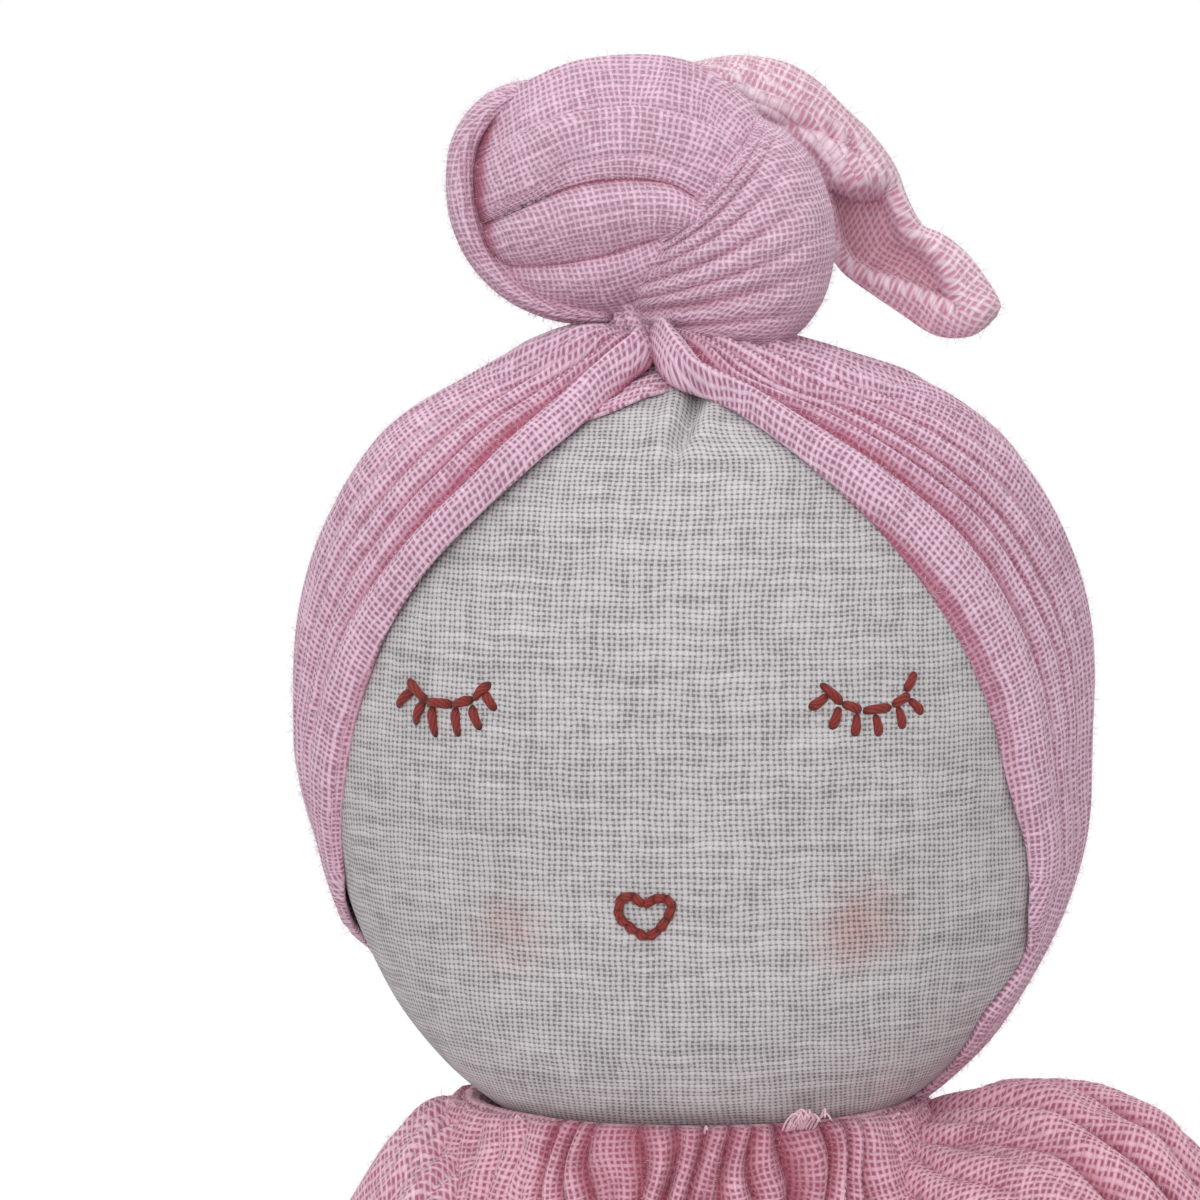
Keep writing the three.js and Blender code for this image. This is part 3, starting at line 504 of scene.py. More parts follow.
def finish(tree, base, light, relief=None, strength=0.0, distance=0.0):
    """Ends a material in its colour, how it takes light, and a fine relief of some millimetres."""
    inputs = {"Base Color": base, "IOR": 1.5, **light}
    if relief is not None:
        bump = add(tree, "Bump", {"Height": relief, "Strength": strength, "Distance": distance * MM})
        inputs["Normal"] = bump.outputs[0]
    shader = add(tree, "BsdfPrincipled", inputs)
    add(tree, "OutputMaterial", {"Surface": shader.outputs[0]})


def weave(tree, threads, warp, weft, bare, slub, soft, drift):
    """A plain weave: its height, its cover from 0 in the gaps to 1 on a thread, and its threads' uneven tone.

    More of bare makes the threads thinner, and slub more uneven. soft is how gently their sides fall, and drift how
    many millimetres they wander.
    """
    wander = noise(tree, threads, 0.14, 3.0, 0.6, "2D")["Color"]
    centred = calc(tree, "SUBTRACT", wander, (0.5, 0.5, 0.5), kind="VectorMath")
    bent = calc(tree, "ADD", threads, scaled(tree, centred, drift), kind="VectorMath")
    place = add(tree, "SeparateXYZ", {0: bent}).outputs
    waves = [calc(tree, "SINE", calc(tree, "MULTIPLY", place[axis], math.pi / pitch))
             for axis, pitch in (("X", warp), ("Y", weft))]
    over = calc(tree, "MULTIPLY", *waves)
    column, row = calc(tree, "SNAP", place["X"], warp), calc(tree, "SNAP", place["Y"], weft)
    tones, covers, heights = [], [], []
    for wave, sign, yarn, along in ((waves[0], 1, column, place["Y"]), (waves[1], -1, row, place["X"])):
        on_yarn = add(tree, "CombineXYZ", {"X": yarn, "Y": along}).outputs[0]
        drawn_out = calc(tree, "MULTIPLY", on_yarn, (3.7, 0.1, 0), kind="VectorMath")
        tone = noise(tree, drawn_out, 1.0, 4.0, 0.7, "2D")["Fac"]
        gap = ranged(tree, tone, 0.3, 0.7, bare + slub, bare - slub)
        full = calc(tree, "ADD", gap, soft)
        cover = ranged(tree, calc(tree, "ABSOLUTE", wave), gap, full, kind="SMOOTHSTEP")
        rise = calc(tree, "MULTIPLY_ADD", over, 0.36 * sign, 0.64)
        tones.append(tone)
        covers.append(cover)
        heights.append(calc(tree, "MULTIPLY", cover, rise))
    # The level threads are the uneven ones, so they show most of the tone.
    tone = calc(tree, "MULTIPLY_ADD", tones[0], 0.5, calc(tree, "MULTIPLY", tones[1], 1.5))
    return calc(tree, "MAXIMUM", *heights), calc(tree, "MAXIMUM", *covers), tone


def woven(tree, yarn, gap, dip, height, cover):
    """A weave's colour. dip is how bright a thread still is where it goes under another: painted shade there, and a
    slight painted highlight on its tops.
    """
    thread = scaled(tree, tuple(yarn), ranged(tree, height, 0.25, 0.95, dip, 1.06))
    return blended(tree, cover, rgba(gap), thread)


def cloth_light(sheen, tint):
    """Matt cloth with a nap that catches light at its edges."""
    return {"Roughness": 0.95, "Specular IOR Level": 0.12, "Sheen Weight": sheen, "Sheen Roughness": 0.5,
            "Sheen Tint": tint}


def plain_linen(name, head, cheeks=()):
    """Undyed linen, woven plain from slubby yarn: pale threads over small grey gaps, uneven rows, no gloss."""
    tree = blank(name)
    threads = add(tree, "UVMap", uv_map="UVMap").outputs[0]
    height, cover, tone = weave(tree, threads, head.warp, head.weft, bare=0.36, slub=0.24, soft=0.42, drift=0.8)
    base = woven(tree, head.linen, head.linen_gap, 0.66, height, cover)
    base = scaled(tree, base, ranged(tree, tone, 0.7, 1.3, 0.88, 1.12))
    place = add(tree, "TexCoord").outputs["Object"]
    for at, size, strength in cheeks:
        away = add(tree, "VectorMath", {0: place, 1: at}, operation="DISTANCE").outputs["Value"]
        worn = calc(tree, "MULTIPLY_ADD", noise(tree, place, 260.0, 3.0)["Fac"], 0.004, away)
        near = ranged(tree, worn, size, 0.0015, 0, strength, "SMOOTHSTEP")
        base = blended(tree, near, base, rgba(head.blush), "MULTIPLY")
    finish(tree, base, cloth_light(0.08, WHITE), height, 0.7, 0.11)


def crinkled_muslin(name, cloth, yarn, gap):
    """Dyed muslin, open and washed: pale crossing threads on a deeper ground, painted darker and redder in its creases
    as painted shade.
    """
    tree = blank(name)
    threads = add(tree, "UVMap", uv_map="UVMap").outputs[0]
    height, cover, tone = weave(
        tree, threads, cloth.weave, cloth.weave * 0.94, bare=0.42, slub=0.2, soft=0.58, drift=1.0)
    # Painted shade: where the fold attribute is low, in creases and shaded hollows, the colour is blended toward the
    # crease colour.
    fold = add(tree, "Attribute", attribute_name="fold").outputs["Fac"]
    deep = ranged(tree, fold, 0.6, 0.0, 0.0, 0.86, "SMOOTHSTEP")
    with_painted_shade = blended(tree, deep, woven(tree, yarn, gap, 0.8, height, cover), rgba(cloth.crease))
    base = scaled(tree, with_painted_shade, ranged(tree, tone, 0.7, 1.3, 0.94, 1.06))
    drawn_out = calc(tree, "MULTIPLY", threads, (0.75, 0.2, 0), kind="VectorMath")
    crinkle = noise(tree, drawn_out, 1.0, 3.0, kind="2D")["Fac"]
    relief = calc(tree, "MULTIPLY_ADD", crinkle, 2.4, height)
    finish(tree, base, cloth_light(0.3, (1.0, 0.86, 0.94, 1)), relief, 0.7, 0.18)


def cotton_nap(name, cloth):
    """Loose cotton fibres: paler than their cloth because light comes through each one."""
    tree = blank(name)
    patchy = noise(tree, add(tree, "TexCoord").outputs["Object"], 400.0, 1.0)["Fac"]
    pale = mix(np.array(cloth.muslin), np.ones(3), 0.35)
    base = blended(tree, patchy, rgba(cloth.muslin), rgba(pale))
    finish(tree, base, {"Roughness": 0.8, "Specular IOR Level": 0.2, "Sheen Weight": 0.3})


def embroidery_thread(name, head):
    """Stranded cotton, two plies twisted: fine slanting strands, painted darker in the grooves between them as painted
    shade, with a soft silky light on them.
    """
    tree = blank(name)
    threads = add(tree, "UVMap", uv_map="UVMap").outputs[0]
    slanted = add(tree, "Mapping", {"Vector": threads, "Rotation": (0, 0, math.radians(24))}).outputs[0]
    strands = add(tree, "TexWave", {"Vector": slanted, "Scale": 0.75, "Distortion": 1.6, "Detail": 2.0})
    strands = strands.outputs["Fac"]
    base = blended(tree, strands, rgba([c * 0.55 for c in head.thread]), rgba(head.thread))
    # Painted shade and highlight: each stitch is painted dark at its ends, where it dives into the cloth, and brighter
    # along the middle of its arch.
    fold = add(tree, "Attribute", attribute_name="fold").outputs["Fac"]
    shaded = scaled(tree, base, ranged(tree, fold, 0.1, 0.8, 0.22, 1.15))
    light = {"Roughness": 0.62, "Specular IOR Level": 0.35, "Sheen Weight": 0.1}
    finish(tree, shaded, light, strands, 0.6, 0.12)


def moulded_plastic(name, tint, roughness, grit):
    """Injection-moulded plastic: an even colour with faint cloudiness and a fine moulded grain."""
    tree = blank(name)
    place = add(tree, "TexCoord").outputs["Object"]
    cloud = noise(tree, place, 120.0, 2.0)["Fac"]
    base = blended(tree, cloud, rgba([c * 0.9 for c in tint]), rgba(tint))
    grain = noise(tree, place, 1 / (grit * MM), 1.0)["Fac"]
    finish(tree, base, {"Roughness": roughness, "IOR": 1.46}, grain, 0.25, 0.05)


# The materials, by what they are for
CLOTHS = {
    "linen": "undyed_linen_plain_weave", "face": "undyed_linen_with_blush", "thread": "stranded_cotton_thread",
    "scarf": "mauve_crinkled_muslin", "wound": "mauve_muslin_wound", "loose": "mauve_muslin_hanging_free",
    "nap": "mauve_cotton_nap", "dress": "rose_crinkled_muslin", "pale": "rose_muslin_pale",
    "dress_nap": "rose_cotton_nap", "capsule": "moulded_polypropylene", "bead": "tumbled_polystyrene",
}
# The blushed cheeks, in metres: middle, radius and strength
CHEEKS = [
    ((0.0198, -0.0277, HEAD_AT.z - 0.0176), 0.0095, 0.5),
    ((-0.0154, -0.0297, HEAD_AT.z - 0.0185), 0.0085, 0.36),
]


def cloths(scene):
    """The doll's materials, made once."""
    names, made = SimpleNamespace(**CLOTHS), bpy.data.materials
    if names.linen not in made:
        head, body = in_mm(scene.doll_head), in_mm(scene.doll_body)
        scarf, dress = in_mm(scene.doll_scarf), in_mm(scene.doll_dress)
        plain_linen(names.linen, head)
        plain_linen(names.face, head, CHEEKS)
        # Wound up, the cloth lies in layers, and paler threads show through its gaps.
        layered = mix(np.array(scarf.muslin_gap), np.array(scarf.muslin), 0.2)
        crinkled_muslin(names.scarf, scarf, scarf.muslin, scarf.muslin_gap)
        crinkled_muslin(names.wound, scarf, scarf.muslin, layered)
        # Painted light: the loose end is the same muslin, painted paler for light that comes through it from behind.
        crinkled_muslin(names.loose, scarf, scarf.loose, scarf.loose_gap)
        crinkled_muslin(names.dress, dress, dress.muslin, dress.muslin_gap)
        # Painted light: the same muslin, painted paler for the light that falls on the right sleeve.
        crinkled_muslin(names.pale, dress, dress.pale, dress.painted_lit_gap)
        cotton_nap(names.nap, scarf)
        cotton_nap(names.dress_nap, dress)
        embroidery_thread(names.thread, head)
        moulded_plastic(names.capsule, body.capsule, roughness=0.45, grit=0.3)
        moulded_plastic(names.bead, body.bead, roughness=0.3, grit=0.4)
    return SimpleNamespace(**{use: made[name] for use, name in CLOTHS.items()})


# The head's surface, which the scarf and the embroidery follow

def head_outline(down, head, grow=0.0):
    """Half-width and height on the head's outline, from its crown at 0 to its underside at 1."""
    turn = math.pi * down
    bend = 2 / head.fullness
    reach = np.where(turn < math.pi / 2, head.up, head.down) + grow
    half = (head.width / 2 + grow) * np.clip(np.sin(turn), 0, 1) ** bend
    return half, reach * np.sign(np.cos(turn)) * np.abs(np.cos(turn)) ** bend


def head_share(z, head):
    """Where on that outline, from 0 to 1, the head is at a height above its middle."""
    reach = np.where(z > 0, head.up, head.down)
    cosine = np.sign(z) * np.minimum(1, np.abs(z) / reach) ** (head.fullness / 2)
    return np.arccos(cosine) / math.pi


def head_point(turn, down, head, grow=0.0):
    """A point on the head, at an angle from the front. The head is shallower than wide, and round at the neck."""
    half, z = head_outline(down, head, grow)
    seam = HEAD_SEAM_BELOW / MM
    depth = mix(head.depth / head.width, 1, ease(-z, 0.4 * seam, 0.95 * seam))
    # The fill sits a little more in the left cheek than in the right one.
    x = half * np.sin(turn) + head.lean * ease(-z, 2, 14) * (1 - ease(-z, 36, 43)) * np.sin(turn) ** 2
    # The crown slopes away on both sides of the knot.
    z = z - head.slope * ease(np.abs(half * np.sin(turn)), 3, 14) * ease(z, 27, 37)
    return np.stack([x, -half * depth * np.cos(turn), z + HEAD_MM[2]], axis=1)


class DOLL_OT_head(bpy.types.Operator):
    """Make the stuffed linen head"""
    bl_idname = "doll.head"
    bl_label = "Stuffed head"

    def execute(self, context):
        head = in_mm(context.scene.doll_head)

        def place(u, v):
            turn = math.tau * (u - 0.5)
            at = head_point(turn, v, head)
            z = at[:, 2] - HEAD_MM[2]
            grow = 0.28 * lumps(at, 16, 3) + 0.1 * lumps(at, 6, 4)
            # The linen is pinched into a small pleat where the scarf's knot pulls on it.
            from_pleat = at[:, 0] - mix(0.8, 2.2, ease(z, 28, 34))
            pleat = np.where(at[:, 1] < 0, ease(z, 26, 31), 0)
            grow -= pleat * 1.5 * bell(from_pleat, 0.75)
            grow += pleat * 0.55 * bell(np.abs(from_pleat) - 2.1, 1.1)
            # Seams behind the ears draw the stuffing in.
            half = head_outline(v, head)[0]
            for side in (-1, 1):
                grow -= 0.6 * bell(half * np.abs(turn - side * math.radians(100)), 0.7)
            return head_point(turn, v, head, grow), np.ones(len(u))

        piece = grid_piece("stuffed_head", 280, 190, place)
        outward(piece)
        dress_up(piece, cloths(context.scene).face, "head",
                 ["face_panel", "head_back_panel", "head_stuffing"])
        return {"FINISHED"}


# Stitches as across, up, across, up in millimetres on the cloth, from the middle of each motif
RIGHT_EYE = [
    (-5.2, 2.2, -2.5, 0.3), (-2.6, 0.3, 0.8, 0.2), (0.8, 0.2, 3.0, 0.8), (3.2, 0.9, 4.8, 2.4),
    (-4.5, 1.3, -6.6, -0.4), (-3.0, 0.2, -4.0, -1.9), (-1.8, -0.1, -1.3, -3.0), (1.1, -0.1, 1.5, -2.8),
    (3.0, 0.1, 4.0, -2.0), (4.4, 1.5, 5.6, 0.0),
]
LEFT_EYE = [
    (-5.0, 2.5, -3.0, 0.5), (-3.0, 0.6, -1.1, -0.2), (-1.1, -0.2, 2.2, 0.0), (2.2, 0.2, 4.2, 1.1),
    (3.7, 1.5, 5.0, 3.2), (-4.5, 1.3, -6.2, 0.2), (-3.3, 0.2, -4.2, -1.9), (-1.5, -0.5, -1.9, -2.7),
    (0.4, -0.6, 0.7, -2.8), (2.9, 0.0, 3.3, -2.2), (4.2, 0.7, 5.6, -0.8),
]
MOUTH = [
    (-2.95, 0.9, -2.6, 2.1), (-2.6, 2.1, -1.5, 2.25), (-1.5, 2.25, -0.45, 1.4), (-0.45, 1.4, 0.6, 2.0),
    (0.6, 2.05, 1.7, 2.1), (1.7, 2.1, 2.35, 1.4), (2.35, 1.4, 1.8, 0.1), (1.8, 0.1, 0.95, -1.05),
    (0.95, -1.05, -0.2, -1.85), (-0.2, -1.85, -1.2, -1.35), (-1.2, -1.35, -2.2, -0.6), (-2.2, -0.6, -2.9, 0.1),
    (-2.9, 0.1, -2.95, 0.9),
]


class DOLL_OT_embroidery(bpy.types.Operator):
    """Stitch the closed eyes and the heart-shaped mouth"""
    bl_idname = "doll.embroidery"
    bl_label = "Embroidery"

    def execute(self, context):
        head = in_mm(context.scene.doll_head)
        thread = cloths(context.scene).thread
        for name, node, stitches, turn, z in (
            ("right_eye_thread", "right_eye_stitches", RIGHT_EYE, -33.8, 3.9),
            ("left_eye_thread", "left_eye_stitches", LEFT_EYE, 32.4, 4.2),
            ("mouth_thread", "mouth_stitches", MOUTH, -1.4, -16.1),
        ):
            parts = [grid_piece(f"{name}_{i}", 16, 20, self.stitch(head, s, math.radians(turn), z))
                     for i, s in enumerate(stitches)]
            for part in parts:
                outward(part)
            dress_up(join(name, parts), thread, "head", [node])
        return {"FINISHED"}

    def stitch(self, head, ends, turn, middle):
        """One stitch: two twisted plies that rise from the cloth, lie along it and dive in again."""
        x0, z0, x1, z1 = ends
        # A little longer than the span that shows, so that neighbours share their holes.
        extra = 0.28 / math.hypot(x1 - x0, z1 - z0)
        x0, x1 = mix(x0, x1, -extra), mix(x0, x1, 1 + extra)
        z0, z1 = mix(z0, z1, -extra), mix(z0, z1, 1 + extra)
        radius = head.thread_width / 2

        def on_cloth(x, z, lift):
            half = head_outline(head_share(z, head), head)[0]
            # Millimetres across the cloth turn into degrees round the face.
            depth = head.depth / head.width
            pace = half * np.hypot(np.cos(turn), depth * np.sin(turn))
            return head_point(turn + x / pace, head_share(z, head), head, lift)

        def place(u, v):
            x, z = mix(x0, x1, v), middle + mix(z0, z1, v)
            arch = np.sin(math.pi * v)
            lift = -0.18 + 0.42 * arch ** 0.6
            at = on_cloth(x, z, lift)
            along = unit(on_cloth(np.full(len(u), x1), np.full(len(u), middle + z1), 0.0)
                         - on_cloth(np.full(len(u), x0), np.full(len(u), middle + z0), 0.0))
            out = unit(on_cloth(x, z, 1.0) - on_cloth(x, z, 0.0))
            side = unit(np.cross(along, out))
            round_ = math.tau * u
            plies = 1 + 0.13 * np.cos(2 * round_ - 7 * v)
            taper = np.clip(1 - np.abs(2 * v - 1) ** 2.6, 0, 1) ** 0.75
            r = radius * plies * taper
            points = at + side * (np.cos(round_) * r)[:, None] + out * (np.sin(round_) * r * 0.8)[:, None]
            # The arch is also the stitch's painted shade and highlight: dark at its ends, bright in its middle.
            return points, arch

        return place


# Creases of the scarf, at shares of the way from its front edge to the middle of the back
RIGHT_CREASES = [0, 0.088, 0.14, 0.2, 0.265, 0.35, 0.46, 0.58, 0.71, 0.85, 1.0]
LEFT_CREASES = [0, 0.095, 0.145, 0.19, 0.25, 0.31, 0.4, 0.51, 0.65, 0.82, 1.0]
# Its front edges: millimetres above the middle of the head, and degrees round from the front
RIGHT_EDGE = [
    (37.4, -2.5), (36.5, -1.2), (35.6, 3.4), (34.9, 9.3), (33.6, 15.3), (32.2, 18.4), (30.9, 20.4), (28.4, 23.8),
    (25.4, 28.1), (21.4, 34.2), (16.2, 41.5), (10.5, 47.7), (4.1, 52.9), (-5, 59), (-9, 63.5), (-12, 67), (-15, 70),
    (-17.5, 74), (-20, 81), (-22, 88), (-25, 95), (-39, 100),
]
LEFT_EDGE = [
    (37.4, -5), (36.3, -2.3), (34.6, -1.7), (33.5, 1.1), (32.9, 7.6), (32, 14.7), (29.8, 22), (26.9, 27.8),
    (24.6, 32.2), (20.9, 38.3), (15.4, 44.5), (8.7, 50.6), (0.7, 56.4), (-6, 60.4), (-10.5, 64.5), (-13, 66.5),
    (-16, 68.5), (-19, 71), (-21, 75), (-22.6, 78), (-24.5, 75), (-28, 70), (-32, 75), (-36, 82), (-40, 88),
]
# Shares of the way down the head at which the scarf begins, is drawn clear of the knot and ends
SCARF_CROWN = 0.035
SCARF_CLEAR = 0.19
SCARF_END = 0.86
# How far the knot pulls the scarf's beginning
KNOT_PULL = np.array([-3.0, -5.0, 0.4])
# The fold that lies under the scarf below the knot: its sides in degrees from the front, and its top and its lower
# edge in millimetres above the middle of the head, the edge at shares across
UNDERLAP_SIDES = (-27, 9)
UNDERLAP_TOP = 37.2
UNDERLAP_LOW = [(0, 30.6), (0.25, 31.7), (0.53, 33.2), (0.78, 33.9), (1, 34.0)]


def edge_turn(edge, down, head):
    """The angle from the front of one of the scarf's edges, at shares of the way down the head."""
    heights, degrees = np.transpose(edge)
    return np.radians(along_table(np.stack([head_share(heights, head), degrees], axis=1), down))


def scarf_folds(across, creases):
    """Height of the overlapping folds at a share across, 0 in their creases and 1 on their ridges, and their count."""
    edges = np.asarray(creases)
    band = np.clip(np.searchsorted(edges, across, side="right") - 1, 0, len(edges) - 2)
    t = np.clip((across - edges[band]) / (edges[band + 1] - edges[band]), 0, 1)
    narrow = np.minimum(1, (edges[band + 1] - edges[band]) / 0.08)
    return (1 - np.abs(2 * t ** 0.85 - 1) ** 2.0) * narrow, band + t


class DOLL_OT_scarf(bpy.types.Operator):
    """Lay the muslin scarf in folds over the head"""
    bl_idname = "doll.scarf"
    bl_label = "Scarf"

    def execute(self, context):
        head, scarf = in_mm(context.scene.doll_head), in_mm(context.scene.doll_scarf)

        def place(u, v):
            down = mix(SCARF_CROWN, SCARF_END, v)
            left, right = edge_turn(LEFT_EDGE, down, head), math.tau - edge_turn(RIGHT_EDGE, down, head)
            # Closer columns near the front edges give these their round.
            turn = mix(left, right, u - 0.6 * np.sin(math.tau * u) / math.tau)
            # Below the cheeks the edge turns away from the folds, which go on straight.
            folded = np.minimum(down, 0.59)
            left_fold = edge_turn(LEFT_EDGE, folded, head)
            right_fold = math.tau - edge_turn(RIGHT_EDGE, folded, head)
            behind = (left_fold + right_fold) / 2
            wander = 0.018 * np.sin(9 * v + 5 * u) * ease(v, 0.05, 0.3)
            from_left = np.clip((turn - left_fold) / (behind - left_fold) + wander, 0, 1)
            from_right = np.clip((right_fold - turn) / (right_fold - behind) + wander, 0, 1)
            on_left = turn < behind
            heights, counts = zip(scarf_folds(from_left, LEFT_CREASES), scarf_folds(from_right, RIGHT_CREASES))
            height = np.where(on_left, *heights)
            all_folds = len(LEFT_CREASES) + len(RIGHT_CREASES) - 2
            fold_at = np.where(on_left, counts[0], all_folds - counts[1])
            fine = pleats(math.tau * np.where(on_left, from_left, from_right), 34, 15)
            # The crease behind each front fold is the deepest, and is painted darkest.
            from_crease = np.where(on_left, from_left - LEFT_CREASES[1], from_right - RIGHT_CREASES[1])
            deepest = bell(from_crease, 0.016) * (1 - ease(v, 0.2, 0.6))
            height = height * (1 - deepest)
            # The folds flatten out where the scarf is stretched over the cheeks.
            slack = 1 - ease(down, 0.52, 0.68)
            depth = scarf.fold * mix(1, 0.3, ease(v, 0.15, 0.8)) * ease(v, -0.06, 0.05) * mix(0.3, 1, slack)
            grow = scarf.lift + scarf.cloth + depth * height + 0.3 * fine * mix(0.2, 1, slack)
            # The left side of the scarf crosses over the right one below the knot.
            grow = grow + 0.9 * (1 - ease(down, 0.1, 0.2)) * (1 - ease(from_left, 0, 0.2)) * (u < 0.5)
            at = head_point(turn, down, head, grow)
            grow = grow + 0.16 * lumps(at * [1, 1, 0.35], 5, 7) * ease(v, 0, 0.1)
            # The front edge is a folded hem that rolls in to the linen.
            half = head_outline(down, head)[0]
            from_edge = half * np.minimum(turn - left, right - turn)
            grow = mix(scarf.lift * 0.3, grow, np.sqrt(ease(from_edge, -0.4, 1.6)))
            # The folds draw together under the knot, in front of the crown.
            pull = 1 - ease(down, SCARF_CROWN, SCARF_CLEAR)
            at = head_point(turn, down, head, grow) + pull[:, None] * KNOT_PULL
            # Painted shade: lower in the creases than on the ridges, and weaker lower down the scarf, for the crease
            # colour.
            crease_shade_share = mix(1, 0.45, ease(v, 0.2, 0.8))
            return at, 1 - crease_shade_share * (1 - height * mix(1, fine, 0.4)), fold_at

        piece = grid_piece("scarf_wrap", 320, 150, place)
        thicken(piece, scarf.cloth)
        muslin = cloths(context.scene).scarf
        dress_up(piece, muslin, "head", ["head_wrap"])

        def underlap(u, v):
            turn = np.radians(mix(*UNDERLAP_SIDES, u))
            z = mix(UNDERLAP_TOP, along_table(UNDERLAP_LOW, u, 0.03), v)
            height = pleats(math.tau * (v + 0.12 * u), 5, 3)
            grow = 0.5 + 0.55 * height * (1 - 0.7 * v ** 3)
            # Painted shade: darker in the valleys of its pleats.
            return head_point(turn, head_share(z, head), head, grow), 0.15 + 0.6 * height

        patch = grid_piece("scarf_underlap", 60, 24, underlap)
        thicken(patch, scarf.cloth * 0.7)
        dress_up(patch, muslin, "head")
        return {"FINISHED"}


# The knot, across and up in millimetres from the middle of the head, as seen from the front.
# The creases of its wound folds, each from left to right, from the top down
WOUND_CREASES = [
    [(-19.8, 61.2), (-16.1, 63.6), (-11.4, 65.4), (-4.9, 66.1), (0.9, 65.1), (4.7, 62.5), (7.3, 59.6)],
    [(-22.0, 55.4), (-16.7, 58.3), (-11.4, 60.2), (-5.6, 60.8), (0.2, 59.7), (4.1, 57.7), (6.0, 55.8)],
    [(-22.1, 49.8), (-16.7, 52.1), (-12.3, 54.7), (-6.9, 55.8), (-2.4, 55.2), (1.5, 53.7), (4.1, 51.9)],
    [(-21.7, 48.8), (-16.2, 51.1), (-11.1, 53.0), (-6.2, 53.5), (-2.4, 53.1), (0.5, 51.6), (3.1, 50.0)],
    [(-20.3, 45.1), (-16.2, 45.0), (-12.3, 45.3), (-8.2, 46.2), (-4.9, 47.3), (-2.0, 48.0), (0.9, 48.3)],
    [(-16.6, 41.9), (-13.6, 40.9), (-11.1, 40.2), (-8.2, 40.0), (-5.6, 40.7), (-3.3, 42.0), (-1.1, 42.7)],
]
# The middle of the dome that they lie on, and its depth
WOUND_MIDDLE = (-9.3, 52.9)
WOUND_DOME = 9.6
# How far each fold swells, and how much of each crease is filled
WOUND_SWELLS = [0.5, 1.1, 0.8, 2.2, 1.7]
WOUND_FILLED = [0.0, 0.7, 0.5, 0.0, 0.1, 0.0]
# The fold that stands round their left ends: its middle, with its half-width and half-depth along it
RIM_PATH = [(-11.0, 61.2), (-15.4, 62.5), (-19.5, 61.2), (-22.2, 57.8), (-22.8, 53.8), (-22.3, 49.8),
            (-20.5, 46.0), (-17.3, 42.9), (-13.0, 40.9), (-7.5, 40.3)]
RIM_WIDE = [0.8, 1.2, 1.5, 1.7, 1.8, 1.8, 1.7, 1.6, 1.3, 0.9]
RIM_DEEP = [2.6, 3.6, 4.4, 4.9, 5.2, 5.2, 5.0, 4.6, 3.8, 2.6]
# The roll at the back, from the middle of the head: its middle and its half-width, half-depth and half-height
BACK_ROLL_AT = (-9.2, 0.4, 52.9)
BACK_ROLL_HALF = (13.8, 6.8, 12.4)
# The stem below the knot: its middle, with its half-width and half-depth along it
STEM_PATH = [(-2, -3, 33), (-2.4, -3.4, 38), (-2.6, -3.6, 42), (-2.8, -3.6, 47)]
STEM_WIDE = [8, 6.4, 5.4, 5]
STEM_DEEP = [7, 5.8, 5, 4.8]
# The rolls that stand for the CAD model's lobes
KNOT_LOBES = {"knot_crossing_roll": ["knot_right_lobe"], "knot_back_roll": ["knot_left_lobe"]}
# How far the picture's view slants aside and down for each millimetre of depth
VIEW_ASIDE, VIEW_DOWN = 0.114, 0.087
# The crossing roll: its near edge, its far edge and the depth of its front and back, from the top down
CROSSING_ROLL = [
    (6.0, 60.6, 6.8, 60.6, 1.0, 1.0),
    (2.0, 56.0, 9.6, 59.2, 5.6, 5.0),
    (-3.0, 49.6, 12.4, 56.4, 8.6, 7.4),
    (-4.6, 47.3, 14.3, 51.6, 9.9, 8.4),
    (-5.4, 45.2, 14.6, 46.6, 10.2, 8.6),
    (-5.8, 42.6, 13.1, 41.6, 9.4, 8.0),
    (-4.4, 39.6, 9.6, 38.0, 7.0, 6.0),
    (1.6, 37.2, 4.6, 37.0, 1.4, 1.4),
]


def seen_at(across, y, up):
    """The place at a depth y that the picture's view shows at distances across and up from the head's middle."""
    place = np.stack([across - VIEW_ASIDE * y, np.zeros(len(across)) + y, up - VIEW_DOWN * y], axis=1)
    return place + HEAD_MM


